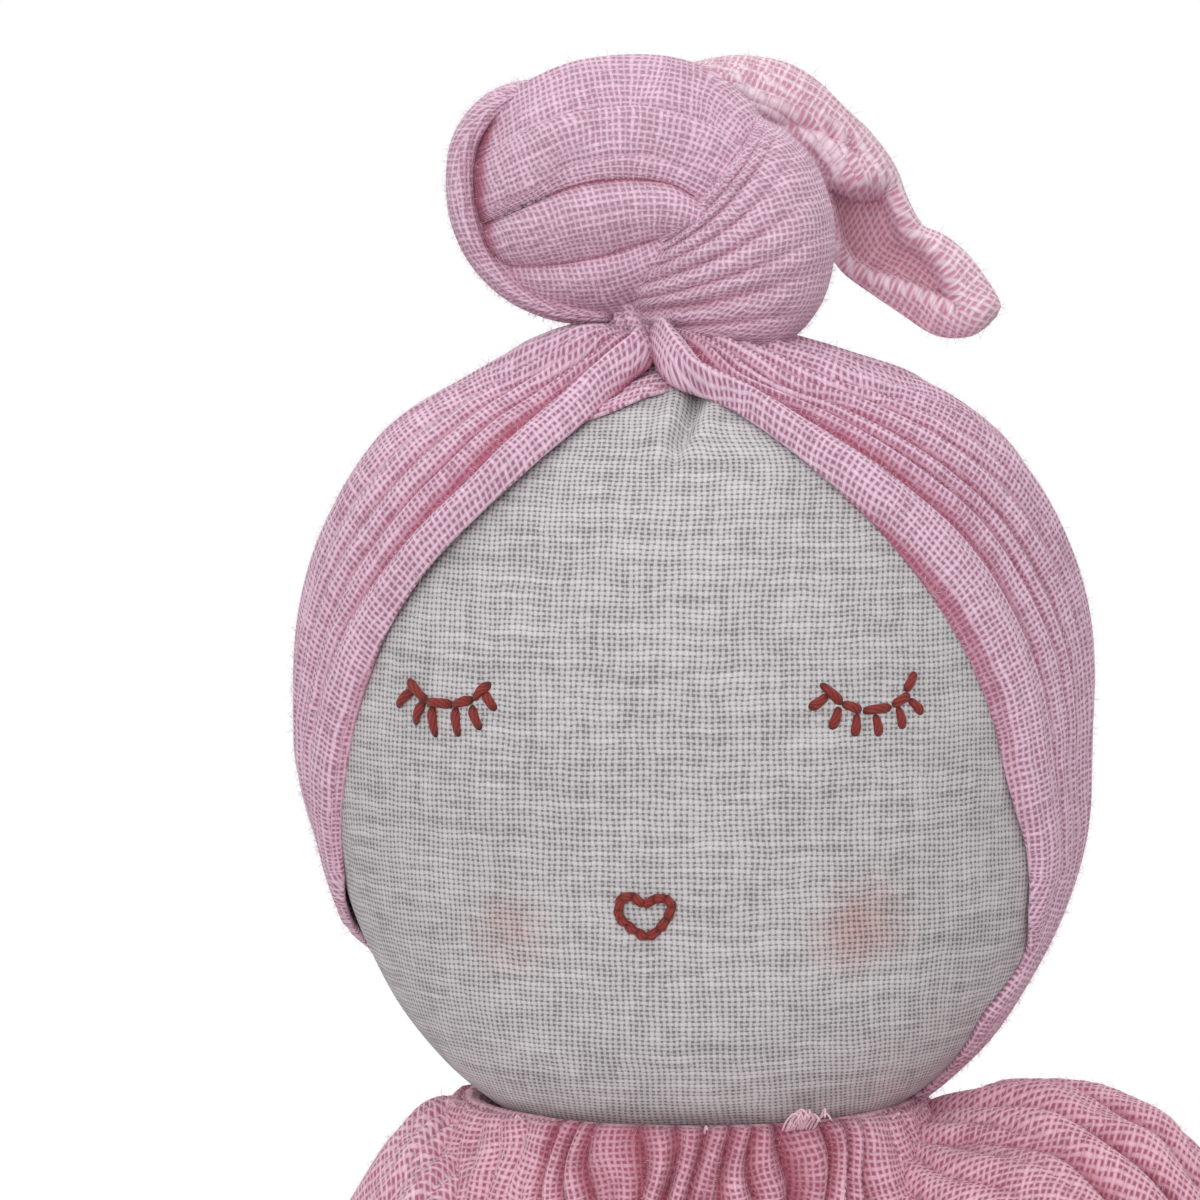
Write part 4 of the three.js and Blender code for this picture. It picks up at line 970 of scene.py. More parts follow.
class DOLL_OT_knot(bpy.types.Operator):
    """Tie the top knot: folds of scarf wound round and crossed over each other"""
    bl_idname = "doll.knot"
    bl_label = "Top knot"

    def execute(self, context):
        muslin = cloths(context.scene).wound
        scarf = in_mm(context.scene.doll_scarf)
        wound = grid_piece("knot_wound_folds", 190, 130, self.wound)
        thicken(wound, scarf.cloth * 1.3)
        dress_up(wound, muslin, "head")
        rim = np.array(RIM_PATH)
        path = seen_at(rim[:, 0], np.linspace(-3.2, -4.4, len(rim)), rim[:, 1])
        stem = np.array(STEM_PATH) + HEAD_MM
        pieces = [
            grid_piece("knot_rim_roll", 70, 170, swept(path, RIM_DEEP, RIM_WIDE, (0, -1, 0), self.streaks)),
            grid_piece("knot_back_roll", 150, 110, self.back_roll),
            grid_piece("knot_crossing_roll", 170, 170, self.crossing),
            grid_piece("knot_stem", 110, 50, swept(stem, STEM_WIDE, STEM_DEEP, (1, 0, 0), self.twist)),
        ]
        for piece in pieces:
            outward(piece)
            dress_up(piece, muslin, "head", KNOT_LOBES.get(piece.name, ()))
        return {"FINISHED"}

    def wound(self, u, v):
        """The wound folds' front: a dome with a swelling between each crease and the next, from left to right."""
        creases = np.array([through(crease, v) for crease in WOUND_CREASES])
        at = (1 - u) * (len(creases) - 1)
        band = np.minimum(at.astype(int), len(creases) - 2)
        t = at - band
        column = np.arange(len(u))
        plane = mix(creases[band, column], creases[band + 1, column], t[:, None])
        from_middle, rise = (plane - WOUND_MIDDLE).T
        # Its left ends sink in behind the rim's roll.
        half = np.where(from_middle < 0, 13.3, 19.0)
        round_ = np.hypot(from_middle / half, rise / np.where(rise > 0, 15.2, 13.5)) ** 2.2
        dome = WOUND_DOME * np.clip(1 - round_, 0, 1) ** (1 / 2.2)
        swell = 1 - np.abs(2 * t ** 0.9 - 1) ** 2.3
        filled = sum(fill * bell(at - i, 0.3) for i, fill in enumerate(WOUND_FILLED))
        fine = pleats(math.tau * (u + 0.05 * np.sin(5 * v + 9 * u)), 25, 24)
        ends = 0.25 + 0.75 * (2 * v - 1) ** 2
        out = np.asarray(WOUND_SWELLS)[band] * swell + filled + 0.4 * fine * ends
        y = -1.6 - dome - out * ease(dome, 0, 4)
        y = y - 0.35 * lumps(plane, 5, 25)
        # Painted shade: darker in the creases and darkest at the folds' left ends, in the crevice by the rim; the top
        # crease stays light.
        shade = np.clip(0.05 + 0.95 * swell ** 0.6 + filled, 0, 1) * mix(0.0, 1, ease(v, 0.01, 0.09))
        shade = np.maximum(shade, ease(0.4 - at, 0, 0.4))
        return seen_at(plane[:, 0], y, plane[:, 1]), shade * mix(1, fine, 0.3 * ends), len(creases) - 1 - at

    def streaks(self, u, v):
        """Fine folds that run along a roll, with painted shade in them."""
        fine = pleats(math.tau * u + 0.5 * np.sin(4 * v), 11, 21)
        return 0.3 * (fine - 1), 0.3 + 0.7 * fine

    def twist(self, u, v):
        """Folds that wind round the stem, with painted shade in them."""
        ridge = pleats(math.tau * u + 1.4 * v, 16, 9)
        return 0.8 * (ridge - 1), 0.4 + 0.6 * ridge

    def back_roll(self, u, v):
        """The fold at the back, which the wound folds lie on."""
        turn, down = math.tau * u, math.pi * v
        spiral = turn + 1.5 * down
        ridge = pleats(spiral, 11, 31)
        rim = np.sin(down) ** 0.55
        wide, deep, tall = BACK_ROLL_HALF
        out = np.stack([np.cos(turn) * rim * wide, -np.cos(down) * deep, np.sin(turn) * rim * tall], axis=1)
        # Pinched on its right, where it runs in under the crossing roll.
        out[:, 2] *= 1 - 0.3 * ease(out[:, 0], -2, 15)
        relief = 1 - 0.11 * (1 - ridge) * np.sin(down) ** 0.6
        at = out * relief[:, None] + HEAD_MM + BACK_ROLL_AT
        # Painted shade: darker in the valleys of its spiral folds.
        return at, 0.2 + 0.8 * ridge, pleat_count(spiral, 11, 31)

    def crossing(self, u, v):
        """The roll that crosses over the others, with folds that fan out from where it tucks in."""
        row = through(CROSSING_ROLL, v)
        turn = math.tau * u
        across = 0.5 - 0.5 * np.cos(turn)
        belly = np.maximum(0, 1 - np.abs(2 * across - 1) ** 2.4) ** (1 / 2.4)
        toward = np.where(np.sin(turn) > 0, -1, 1)
        line = (v - mix(0.40, -0.12, across)) / mix(0.58, 1.08, across)
        broad = pleats(math.tau * line, 9, 57)
        fine = pleats(math.tau * line, 23, 58)
        soft = mix(1, 0.45, ease(across, 0.5, 1))
        depth = np.where(toward < 0, row[:, 4], row[:, 5]) * belly
        lift = (1.0 * (broad - 1) + 0.12 * (fine - 1)) * soft * ease(belly, 0, 0.5)
        y = toward * (depth + lift) - 5.2 + 1.6 * (1 - across)
        at = np.stack([mix(row[:, 0], row[:, 2], across), y, mix(row[:, 1], row[:, 3], across)], axis=1)
        # Painted shade: darker in the valleys of its fanned folds.
        return at + HEAD_MM, 0.2 + 0.65 * mix(1, broad * (0.6 + 0.4 * fine), soft)


# The scarf's loose end, across and up from the middle of the head: pairs of points on its two edges
TAIL_EDGES = [
    (-1.5, 57.4, 1.2, 54.0), (-1.9, 62.0, 0.4, 58.4), (-0.5, 64.9, 1.0, 61.6), (3.6, 66.0, 3.9, 60.2),
    (6.9, 65.9, 6.5, 58.0), (9.8, 65.2, 8.7, 56.5),
    (12.4, 63.6, 10.5, 55.4), (14.9, 61.2, 12.2, 54.3), (17.5, 58.8, 13.3, 52.1), (19.9, 55.6, 13.8, 49.9),
    (21.2, 52.3, 14.4, 47.7), (22.8, 49.6, 15.7, 45.7), (25.2, 48.4, 18.2, 43.8), (27.4, 46.6, 21.5, 41.6),
    (29.2, 44.2, 24.8, 39.6), (30.3, 42.4, 27.8, 39.5), (30.5, 41.6, 29.8, 40.7),
]
# Steps of these that lie in and behind the knot
TAIL_ROOT = 2
# Shares along the rest and across it: the fold in its hood, the hood's lip, and the two rims of its hollow
HOOD_FOLD = [(0.08, 0.9), (0.18, 0.66), (0.26, 0.55), (0.35, 0.43), (0.42, 0.3), (0.5, 0.2)]
HOOD_LIP = [(0.0, 0.53), (0.5, 0.475), (0.9, 0.36), (1.0, 0.33)]
UPPER_RIM = [(0.5, 0.03), (0.57, 0.06), (0.64, 0.1), (0.71, 0.15), (0.79, 0.27), (0.83, 0.4), (0.87, 0.56)]
LOWER_RIM = [(0.5, 1.0), (0.64, 0.98), (0.71, 0.91), (0.765, 0.79), (0.81, 0.71), (0.87, 0.58)]


class DOLL_OT_tail(bpy.types.Operator):
    """Hang the scarf's loose end behind the knot: a hood of cloth over a hollow with rolled rims"""
    bl_idname = "doll.tail"
    bl_label = "Loose end of the scarf"

    def execute(self, context):
        scarf = in_mm(context.scene.doll_scarf)

        def place(u, v):
            edges = through(TAIL_EDGES, v)
            plane = mix(edges[:, :2], edges[:, 2:], u[:, None])
            last = len(TAIL_EDGES) - 1
            v = (v * last - TAIL_ROOT) / (last - TAIL_ROOT)
            belly = np.sin(math.pi * u) ** 0.75
            past_lip = ease(v - along_table(HOOD_LIP, u, 0.05), -0.012, 0.03)
            inside = ease(u - along_table(UPPER_RIM, v, 0.02), -0.02, 0.13)
            inside = inside * ease(along_table(LOWER_RIM, v, 0.02) - u, -0.02, 0.13) * ease(0.875 - v, 0, 0.05)
            hollow = past_lip * inside
            from_fold = u - along_table(HOOD_FOLD, v, 0.03)
            crease = bell(from_fold, 0.075) * ease(v, 0.05, 0.15) * (1 - ease(v, 0.4, 0.5))
            streak = pleats(math.tau * (u + 0.1 * np.sin(3 * v)), 9, 33)
            full = mix(4.4, 2.4, ease(v, 0.45, 0.75)) * ease(1 - v, -0.02, 0.1)
            front = -full * belly + 1.5 * crease + 0.45 * (1 - streak) * (1 - past_lip)
            y = mix(3.0, 5.8, ease(v, -0.14, 0.03)) + 3.2 * ease(v, 0, 0.7) + mix(front, 2.6, hollow)
            at = seen_at(plane[:, 0], y, plane[:, 1])
            at = at + (0.3 * lumps(at, 5, 12) * belly)[:, None] * [0.3, 1, 0.3]
            plain = seen_at(plane[:, 0], -full * belly, plane[:, 1])
            # Painted shade: darker in the hood's crease and its streaks, and in the hollow under it.
            return at, mix(0.6 + 0.4 * streak * (1 - crease), 0.35, hollow), threads_along(plain, u, v)

        piece = grid_piece("scarf_tail", 110, 210, place)
        thicken(piece, scarf.cloth * 1.2)
        dress_up(piece, cloths(context.scene).loose, "tail", ["knot_tail"])
        return {"FINISHED"}


# The dress

NECKLINE_Z = 83.3
NECKLINE_CROWDS = (5, 11, 17)
HEM_Z = 0.6
LEG_ROOM = 1.0
# The neckline's turned-in edge, from the inside out: distance from the doll's axis, and height
NECKLINE_RING = [(17.6, 76.5), (18.4, 78.8), (19.5, 81.0), (20.9, 82.4), (21.8, 82.9), (22.5, 82.5)]
# Its loose threads: where most of them hang out, over how wide a stretch, and the radius of one
FRAY_SPOT, FRAY_SPREAD = math.radians(31.5), math.radians(2.4)
FRAY_RADIUS = 0.11
# How far from the doll's axis the hem crosses the thighs, and how far it sags between them
HEM_OUT = 47
HEM_SAG = 5.5
# How square the dress is from above: 2 is an ellipse
DRESS_FULLNESS = 2.6


def shoulder_reach(z, side, front, dress):
    """How far the rounded shoulders stand from the doll's axis at a height, by halving the range."""
    n = DRESS_FULLNESS
    near, far = np.zeros_like(z), np.full_like(z, dress.shoulder + dress.round)
    for _ in range(30):
        reach = (near + far) / 2
        about = np.hypot(reach * front, np.maximum(0, z - SHOULDER_Z)) / dress.round
        outside = (reach * side / dress.shoulder) ** n + about ** n > 1
        near, far = np.where(outside, near, reach), np.where(outside, reach, far)
    return near


def dress_reach(z, turn, dress):
    """How far the dress hangs from the doll's axis at a height and an angle from the front, with its folds, its
    painted shade and its gathers' count.
    """
    side, front = np.abs(np.sin(turn)), np.abs(np.cos(turn))
    n = DRESS_FULLNESS
    fall = np.clip((SHOULDER_Z - z) / (SHOULDER_Z - HEM_Z), 0, 1)
    tuck = dress.tuck * np.sin(math.pi * fall) * (1 - fall)
    half_width = mix(dress.shoulder, dress.hem_side, fall ** 2) - tuck
    hem = np.where(np.cos(turn) > 0, dress.hem_front, dress.hem_back)
    half_depth = mix(dress.round, hem, fall ** 1.25)
    skirt = ((side / half_width) ** n + (front / half_depth) ** n) ** (-1 / n)
    top = shoulder_reach(z, side, front, dress)
    neck = dress.neckline + 2.2 * np.sqrt(np.clip((NECKLINE_Z - z) / 11, 0, 1))
    neck = neck * mix(1, 0.7, ease(NECKLINE_Z - z, 5, 24))
    top = (top ** 9 + neck ** 9) ** (1 / 9)
    plain = np.where(z >= SHOULDER_Z, top, skirt)
    sway = 0.03 * np.sin(0.11 * z + 2 * turn) + 0.026 * np.sin(0.45 * z - 9 * turn) * ease(z, 50, 75)
    fine = pleats(turn + sway, dress.gathers, 61, NECKLINE_CROWDS)
    middle = pleats(turn + 1.6 * sway, 24, 62)
    # The neckline is drawn up tight in front and behind, and lies looser towards the shoulders.
    aside = np.abs(np.arctan2(np.sin(turn - 0.14), np.cos(turn - 0.14)))
    tight = mix(1, 0.3, ease(aside, 0.58, 0.86) * ease(math.pi - aside, 0.58, 0.86))
    fine_depth = mix(0.5, 1.9 * tight, ease(z, 48, 76)) * mix(0.7, 1, ease(NECKLINE_Z - z, 0, 3))
    middle_depth = 2.1 * ease(NECKLINE_Z - z, 1, 12) * mix(1, 0.45, fall)
    broad = 0.6 * np.cos(9 * turn) + 0.4 * np.cos(5 * turn + 0.7)
    reach = plain + dress.fold * broad * ease(fall, 0.15, 1)
    reach = reach + fine_depth * (fine - 0.75) + middle_depth * (middle - 0.72)
    # Painted shade: darker in the fine gathers near the neckline and in the middle folds below it.
    shade = 1 - tight * ease(z, 55, 76) * (1 - fine)
    shade = shade * (1 - tight * ease(NECKLINE_Z - z, 1, 9) * mix(0.8, 0.45, fall) * (1 - middle))
    # Tied in under the head, the cloth lies close, and is painted darker there as painted shadow of the head.
    shade = shade * mix(mix(0.85, 0.36, tight), 1, ease(NECKLINE_Z - z, 0, 17))
    # Painted shade: darker in the broad folds of the skirt.
    return reach, shade * (1 - 0.2 * fall * (1 - broad)), pleat_count(turn + sway, dress.gathers, 61, NECKLINE_CROWDS)


def hem_height(turn, body):
    """The hem lies over the thighs in front and hangs to the floor elsewhere."""
    x = HEM_OUT * np.sin(turn)
    hip_x, axis_z = HIP[0], HIP[2]
    room = body.thigh + LEG_ROOM
    from_leg = np.abs(np.abs(x) - hip_x)
    arch = axis_z + np.sqrt(np.maximum(0, room ** 2 - from_leg ** 2))
    sag = axis_z + room - HEM_SAG * np.cos(math.pi / 2 * np.minimum(1, np.abs(x) / hip_x)) ** 2
    arch = np.where(np.abs(x) < hip_x, sag, arch)
    aside = axis_z * (1 - ease(np.abs(x), hip_x + room, hip_x + room + 4.5))
    over = np.where(np.abs(x) < hip_x + room, arch, np.maximum(aside, HEM_Z))
    return np.where(np.cos(turn) > 0, over, HEM_Z)


def bend_with_neck(piece):
    """Bakes the piece's placing into its mesh."""
    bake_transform(piece)


class DOLL_OT_dress(bpy.types.Operator):
    """Hang the gathered dress, its front, its back and its neckline"""
    bl_idname = "doll.dress"
    bl_label = "Dress"

    def execute(self, context):
        dress, body = in_mm(context.scene.doll_dress), in_mm(context.scene.doll_body)
        muslin = cloths(context.scene).dress

        def panel(start):
            def place(u, v):
                turn = start + math.pi * u
                low = hem_height(turn, body)
                z = mix(NECKLINE_Z, low, v)
                reach, shade, fold_at = dress_reach(z, turn, dress)
                at = about_axis(reach, turn, z)
                crumple = 0.3 * lumps(at, 9, 71) + 0.28 * lumps(at * [1, 1, 0.6], 2.6, 72)
                return at + crumple[:, None] * about_axis(1, turn, 0 * turn), shade, fold_at
            return place

        for name, node, start in (("dress_front_cloth", "dress_front", -math.pi / 2),
                                  ("dress_back_cloth", "dress_back", math.pi / 2)):
            piece = grid_piece(name, 260, 120, panel(start))
            thicken(piece, dress.cloth)
            dress_up(piece, muslin, replaces=[node])
            bend_with_neck(piece)

        def neckline(u, v):
            turn = math.tau * (u - 0.5)
            reach, shade, _ = dress_reach(np.full(len(u), NECKLINE_Z - 0.2), turn, dress)
            ring = through(NECKLINE_RING, v)
            # The ring takes the dress's painted shade at the neckline, and rises a little where that is light.
            z = ring[:, 1] + 0.35 * (shade - 0.6) * ease(v, 0.3, 0.7)
            reach = ring[:, 0] + (reach - dress.neckline) * ease(v, 0.2, 0.7)
            return about_axis(reach, turn, z), shade

        ring = grid_piece("neckline_cloth", 420, 26, neckline)
        turn_over(ring)
        thicken(ring, dress.cloth * 0.8)
        dress_up(ring, muslin, "neck", ["neckline_gather"])
        self.frays(dress, cloths(context.scene).dress_nap)
        return {"FINISHED"}

    def frays(self, dress, cotton):
        """Loose threads that have worked out of the neckline's raw edge, most of them at one spot."""
        draws = np.random.default_rng(5)
        tuft = draws.normal(FRAY_SPOT, FRAY_SPREAD, 18)
        turns = [*tuft, *draws.uniform(-1.4, 1.4, 7)]
        parts = []
        for i, turn in enumerate(turns):
            lean = draws.uniform(-1.0, 1.0)
            rise = draws.uniform(1.4, 2.8) if i < len(tuft) else draws.uniform(0.6, 1.2)
            reach = dress.neckline + 0.7
            root = np.array([reach * math.sin(turn), -reach * math.cos(turn), NECKLINE_Z - 0.6])
            out = np.array([math.sin(turn), -math.cos(turn), 0])
            aside = np.array([math.cos(turn), math.sin(turn), 0])
            bent = [(0, 0, 0), (0.6, 0, 0.6), (1.1, 0.25 * lean, 1), (1.3, 0.6 * lean, 0.6)]
            path = [root + (out * ahead + aside * over + [0, 0, up]) * rise for ahead, over, up in bent]
            thick = [FRAY_RADIUS] * len(path)
            parts.append(grid_piece(f"fray_{i}", 6, 10, swept(path, thick, thick, aside)))
        for part in parts:
            outward(part)
        dress_up(join("neckline_frays", parts), cotton, "neck")


# A sleeve's sections: top and underside, out and up, and half its depth, from the shoulder to the cuff
LEFT_SLEEVE = [
    (20.0, 80.6, 20.0, 35.5, 22.6), (27.0, 83.2, 25.5, 35.5, 24.0), (38.0, 84.6, 30.0, 35.0, 25.0),
    (46.0, 81.6, 35.0, 34.6, 24.5), (52.2, 76.0, 40.0, 34.2, 22.5), (57.4, 68.0, 44.2, 34.6, 18.0),
    (61.0, 58.6, 48.8, 34.0, 13.4), (64.6, 50.0, 53.6, 33.0, 10.8), (70.9, 45.0, 60.0, 28.8, 9.8),
]
RIGHT_SLEEVE = [
    (19.0, 80.8, 20.0, 36.0, 22.3), (25.0, 82.6, 24.5, 35.0, 22.0), (30.0, 78.6, 27.0, 34.5, 20.6),
    (35.0, 70.6, 29.0, 34.0, 18.6), (41.2, 60.0, 31.5, 33.3, 15.6), (48.2, 49.6, 34.0, 32.3, 12.6),
    (54.8, 40.6, 36.6, 30.9, 10.8), (60.0, 28.6, 42.6, 19.6, 9.8),
]


class DOLL_OT_sleeves(bpy.types.Operator):
    """Gather the puffed sleeves over the arms"""
    bl_idname = "doll.sleeves"
    bl_label = "Sleeves"

    def execute(self, context):
        dress = in_mm(context.scene.doll_dress)
        finishes = cloths(context.scene)
        # Painted light: the right sleeve gets the paler muslin and less painted crease shade, for the light that falls
        # on it.
        for side, name, sections, cut, seed, depth, muslin in (
            (1, "left", LEFT_SLEEVE, (0.140, 0.056), 81, 0.95, finishes.dress),
            (-1, "right", RIGHT_SLEEVE, (0.120, 0.048), 91, 0.6, finishes.pale),
        ):
            piece = grid_piece(f"{name}_sleeve_cloth", 200, 120, self.sleeve(side, sections, seed, depth))
            if side < 0:
                turn_over(piece)
            thicken(piece, dress.cloth)
            dress_up(piece, muslin, f"{name}_arm", [f"{name}_sleeve"])
        return {"FINISHED"}

    def sleeve(self, side, sections, seed, depth):
        """A sleeve's shape, and its painted shade: depth says how deep the painted crease colour is."""
        def place(u, v):
            row = through(sections, v)
            turn = math.tau * (u - 0.5)
            middle = (row[:, :2] + row[:, 2:4]) / 2
            arm = (row[:, :2] - row[:, 2:4]) / 2
            # The folds fall forward on their way out from the neckline.
            drawn = turn + 1.4 * v - 0.4 * v ** 2
            fine = pleats(drawn + 0.2 * np.sin(5 * v), 38, seed)
            broad = pleats(drawn, 17, seed + 1)
            near = 1 - ease(v, 0.04, 0.4)
            cuff = ease(v, 0.8, 0.98)
            fine_depth = 0.35 + 1.3 * near + 0.6 * cuff
            broad_depth = 3.0 * np.sin(math.pi * np.clip(v * 1.1, 0, 1)) ** 0.7
            lift = fine_depth * (fine - 0.8) + broad_depth * (broad - 0.75)

            def puffed(size):
                up, out = np.cos(turn) * size, np.sin(turn) * size
                return np.stack(
                    [side * (middle[:, 0] + arm[:, 0] * up), row[:, 4] * out, middle[:, 1] + arm[:, 1] * up], axis=1)

            at = puffed(1 + lift / np.maximum(row[:, 4], 6))
            # Painted shade: darker in the fine gathers by the neckline and in the broad folds, as deep as depth says.
            shade = 1 - depth * (1 - (1 - mix(0.35, 1, near) * (1 - fine)) * (1 - 0.4 * broad_depth * (1 - broad)))
            crumple = 0.35 * lumps(at, 8, seed + 2) + 0.3 * lumps(at * [0.5, 1, 0.8], 2.4, seed + 3)
            return at + crumple[:, None] * [0.5, 1, 1], shade, threads_along(puffed(1), u, v)
        return place


# The neck's middle and its radius along it
NECK_PATH = [(0, 0, 47.6), (0, 0, 56), (0, 0, 66), (0, 0, 79)]
NECK_RADII = [8, 10.3, 10, 10.2]
# The torso's highest and lowest points, its widest height, and the reach of its round above and below that
TORSO_TOP, TORSO_LOW, TORSO_WIDEST = 69.6, 0.4, 30.0
TORSO_ABOVE, TORSO_BELOW = 40.0, 62.0


class DOLL_OT_limbs(bpy.types.Operator):
    """Stuff the arms, the legs, the neck and the torso"""
    bl_idname = "doll.limbs"
    bl_label = "Stuffed limbs and torso"

    def execute(self, context):
        body = in_mm(context.scene.doll_body)
        linen = cloths(context.scene).linen
        for side, name, splay in ((1, "left", body.left_splay), (-1, "right", body.right_splay)):
            arm = grid_piece(f"{name}_arm_stuffed", 90, 120, self.arm(side, splay, body))
            self.stuff(arm, linen, f"{name}_arm", [f"{name}_arm"], 0.8)
            leg = grid_piece(f"{name}_leg_stuffed", 110, 190, self.leg(side, body))
            self.stuff(leg, linen, f"{name}_leg", [f"{name}_leg"], 0.85)
        torso = grid_piece("stuffed_torso", 120, 90, self.torso(body))
        self.stuff(torso, linen, "torso", [
            "torso_front_panel", "torso_back_panel", "torso_seat_panel",
            "torso_stuffing_front", "torso_stuffing_back"], 0.8)
        neck = grid_piece("stuffed_neck", 64, 40, swept(NECK_PATH, NECK_RADII, NECK_RADII, (1, 0, 0)))
        self.stuff(neck, linen, "neck", ["neck"], 0.9)
        return {"FINISHED"}

    def stuff(self, piece, linen, body, nodes, fill):
        outward(piece)
        dress_up(piece, linen, body, nodes)

    def seams(self, around, width):
        """1 on the two seams that run along a limb."""
        return bell(np.minimum(np.abs(around - math.pi / 2), np.abs(around - 1.5 * math.pi)), width)

    def arm(self, side, splay, body):
        way = np.array([side * math.sin(splay), 0, -math.cos(splay)])
        turn = np.array([side * body.arm_out, 0, SHOULDER_Z])
        root = turn * [0.56, 1, 1]
        path = [root, (root + turn) / 2, turn - [side * 2.2, 0, 0.8]]
        path += [turn + way * along for along in (9, 20, 30, 38, 44, body.arm_length)]
        wide = [5.8, body.arm, body.arm, 6.4, 6.2, 5.8, body.wrist, body.hand, body.hand * 0.86]
        deep = [5.8, body.arm, body.arm, 6.2, 6.0, 5.6, body.wrist * 0.95, body.hand * 0.92, body.hand * 0.7]

        def relief(u, v):
            around = math.tau * u
            seam = self.seams(around, 0.09)
            wrist = bell(v - 0.77, 0.03) * (0.6 + 0.4 * np.cos(6 * around))
            return -0.4 * seam - 0.35 * wrist + 0.12 * np.sin(23 * v + 3 * around), np.ones(len(u))

        return swept(path, wide, deep, (0, 1, 0), relief)

    def leg(self, side, body):
        x, y, z = side * HIP[0], -HIP[1], HIP[2]
        low = z - body.thigh
        ankle_z = low + body.ankle
        end = y - body.leg_length
        path = [(x, y + 9.6, z), (x, y + 2, z), (x, y - 18, z - 0.8), (x, y - 38, z - 2), (x, end + 12, ankle_z),
                (x, end + 4.6, ankle_z + 0.4), (x, end + 0.2, ankle_z + 4.6), (x, end - 0.6, ankle_z + 9.6),
                (x, end - 0.2, low + 24.4)]
        wide = [8.0, 10.6, 10.2, 9.1, 8.0, 7.7, 7.6, 7.3, 4.6]
        deep = [8.0, 10.6, 10.2, 9.1, 7.9, 7.6, 7.0, 6.4, 4.4]

        def relief(u, v):
            around = math.tau * u
            seam = self.seams(around, 0.08)
            bend = bell(v - 0.68, 0.05) * np.cos(8 * around) * 0.3
            return -0.45 * seam + bend + 0.15 * np.sin(17 * v + 2 * around), np.ones(len(u))

        return swept(path, wide, deep, (1, 0, 0), relief)

    def torso(self, body):
        def place(u, v):
            turn = math.tau * (u - 0.5)
            z = mix(TORSO_TOP, TORSO_LOW, ease(v, -0.1, 1.02))
            reach = np.where(z > TORSO_WIDEST, TORSO_ABOVE, TORSO_BELOW)
            swell = (1 - np.minimum(1, np.abs(z - TORSO_WIDEST) / reach) ** 2.4) ** (1 / 2.4)
            close = np.sqrt(np.clip(1 - (np.maximum(0, v - 0.93) / 0.07) ** 2, 0, 1))
            close = close * np.sqrt(np.clip(v / 0.03, 0, 1))
            seam = 0.5 * bell(np.minimum(np.abs(np.abs(turn) - math.pi / 2), 1), 0.04)
            at = np.stack([(body.torso_width - seam) * swell * close * np.sin(turn),
                           -(body.torso_depth - seam) * swell * close * np.cos(turn), z], axis=1)
            return at + (0.3 * lumps(at, 14, 44) * close)[:, None] * [1, 1, 0], np.ones(len(u))

        return place


# Radius of a loose fibre in millimetres, drawn about twice as thick as cotton so that it shows
FIBRE = 0.026
# Loose fibres on the muslin: name, the pieces that they stand on, how many, slot and body
NAPS = [
    ("scarf_nap", ["scarf_wrap"], 17000, "wrap_muslin", "head"),
    ("knot_nap", ["knot_wound_folds", "knot_rim_roll", "knot_back_roll", "knot_crossing_roll"], 9000,
     "wrap_muslin", "head"),
    ("tail_nap", ["scarf_tail"], 2400, "wrap_muslin", "tail"),
    ("dress_front_nap", ["dress_front_cloth"], 7000, "dress_muslin", None),
    ("dress_back_nap", ["dress_back_cloth"], 7000, "dress_muslin", None),
    ("left_sleeve_nap", ["left_sleeve_cloth"], 6000, "dress_muslin", "left_arm"),
    ("right_sleeve_nap", ["right_sleeve_cloth"], 4600, "dress_muslin", "right_arm"),
]


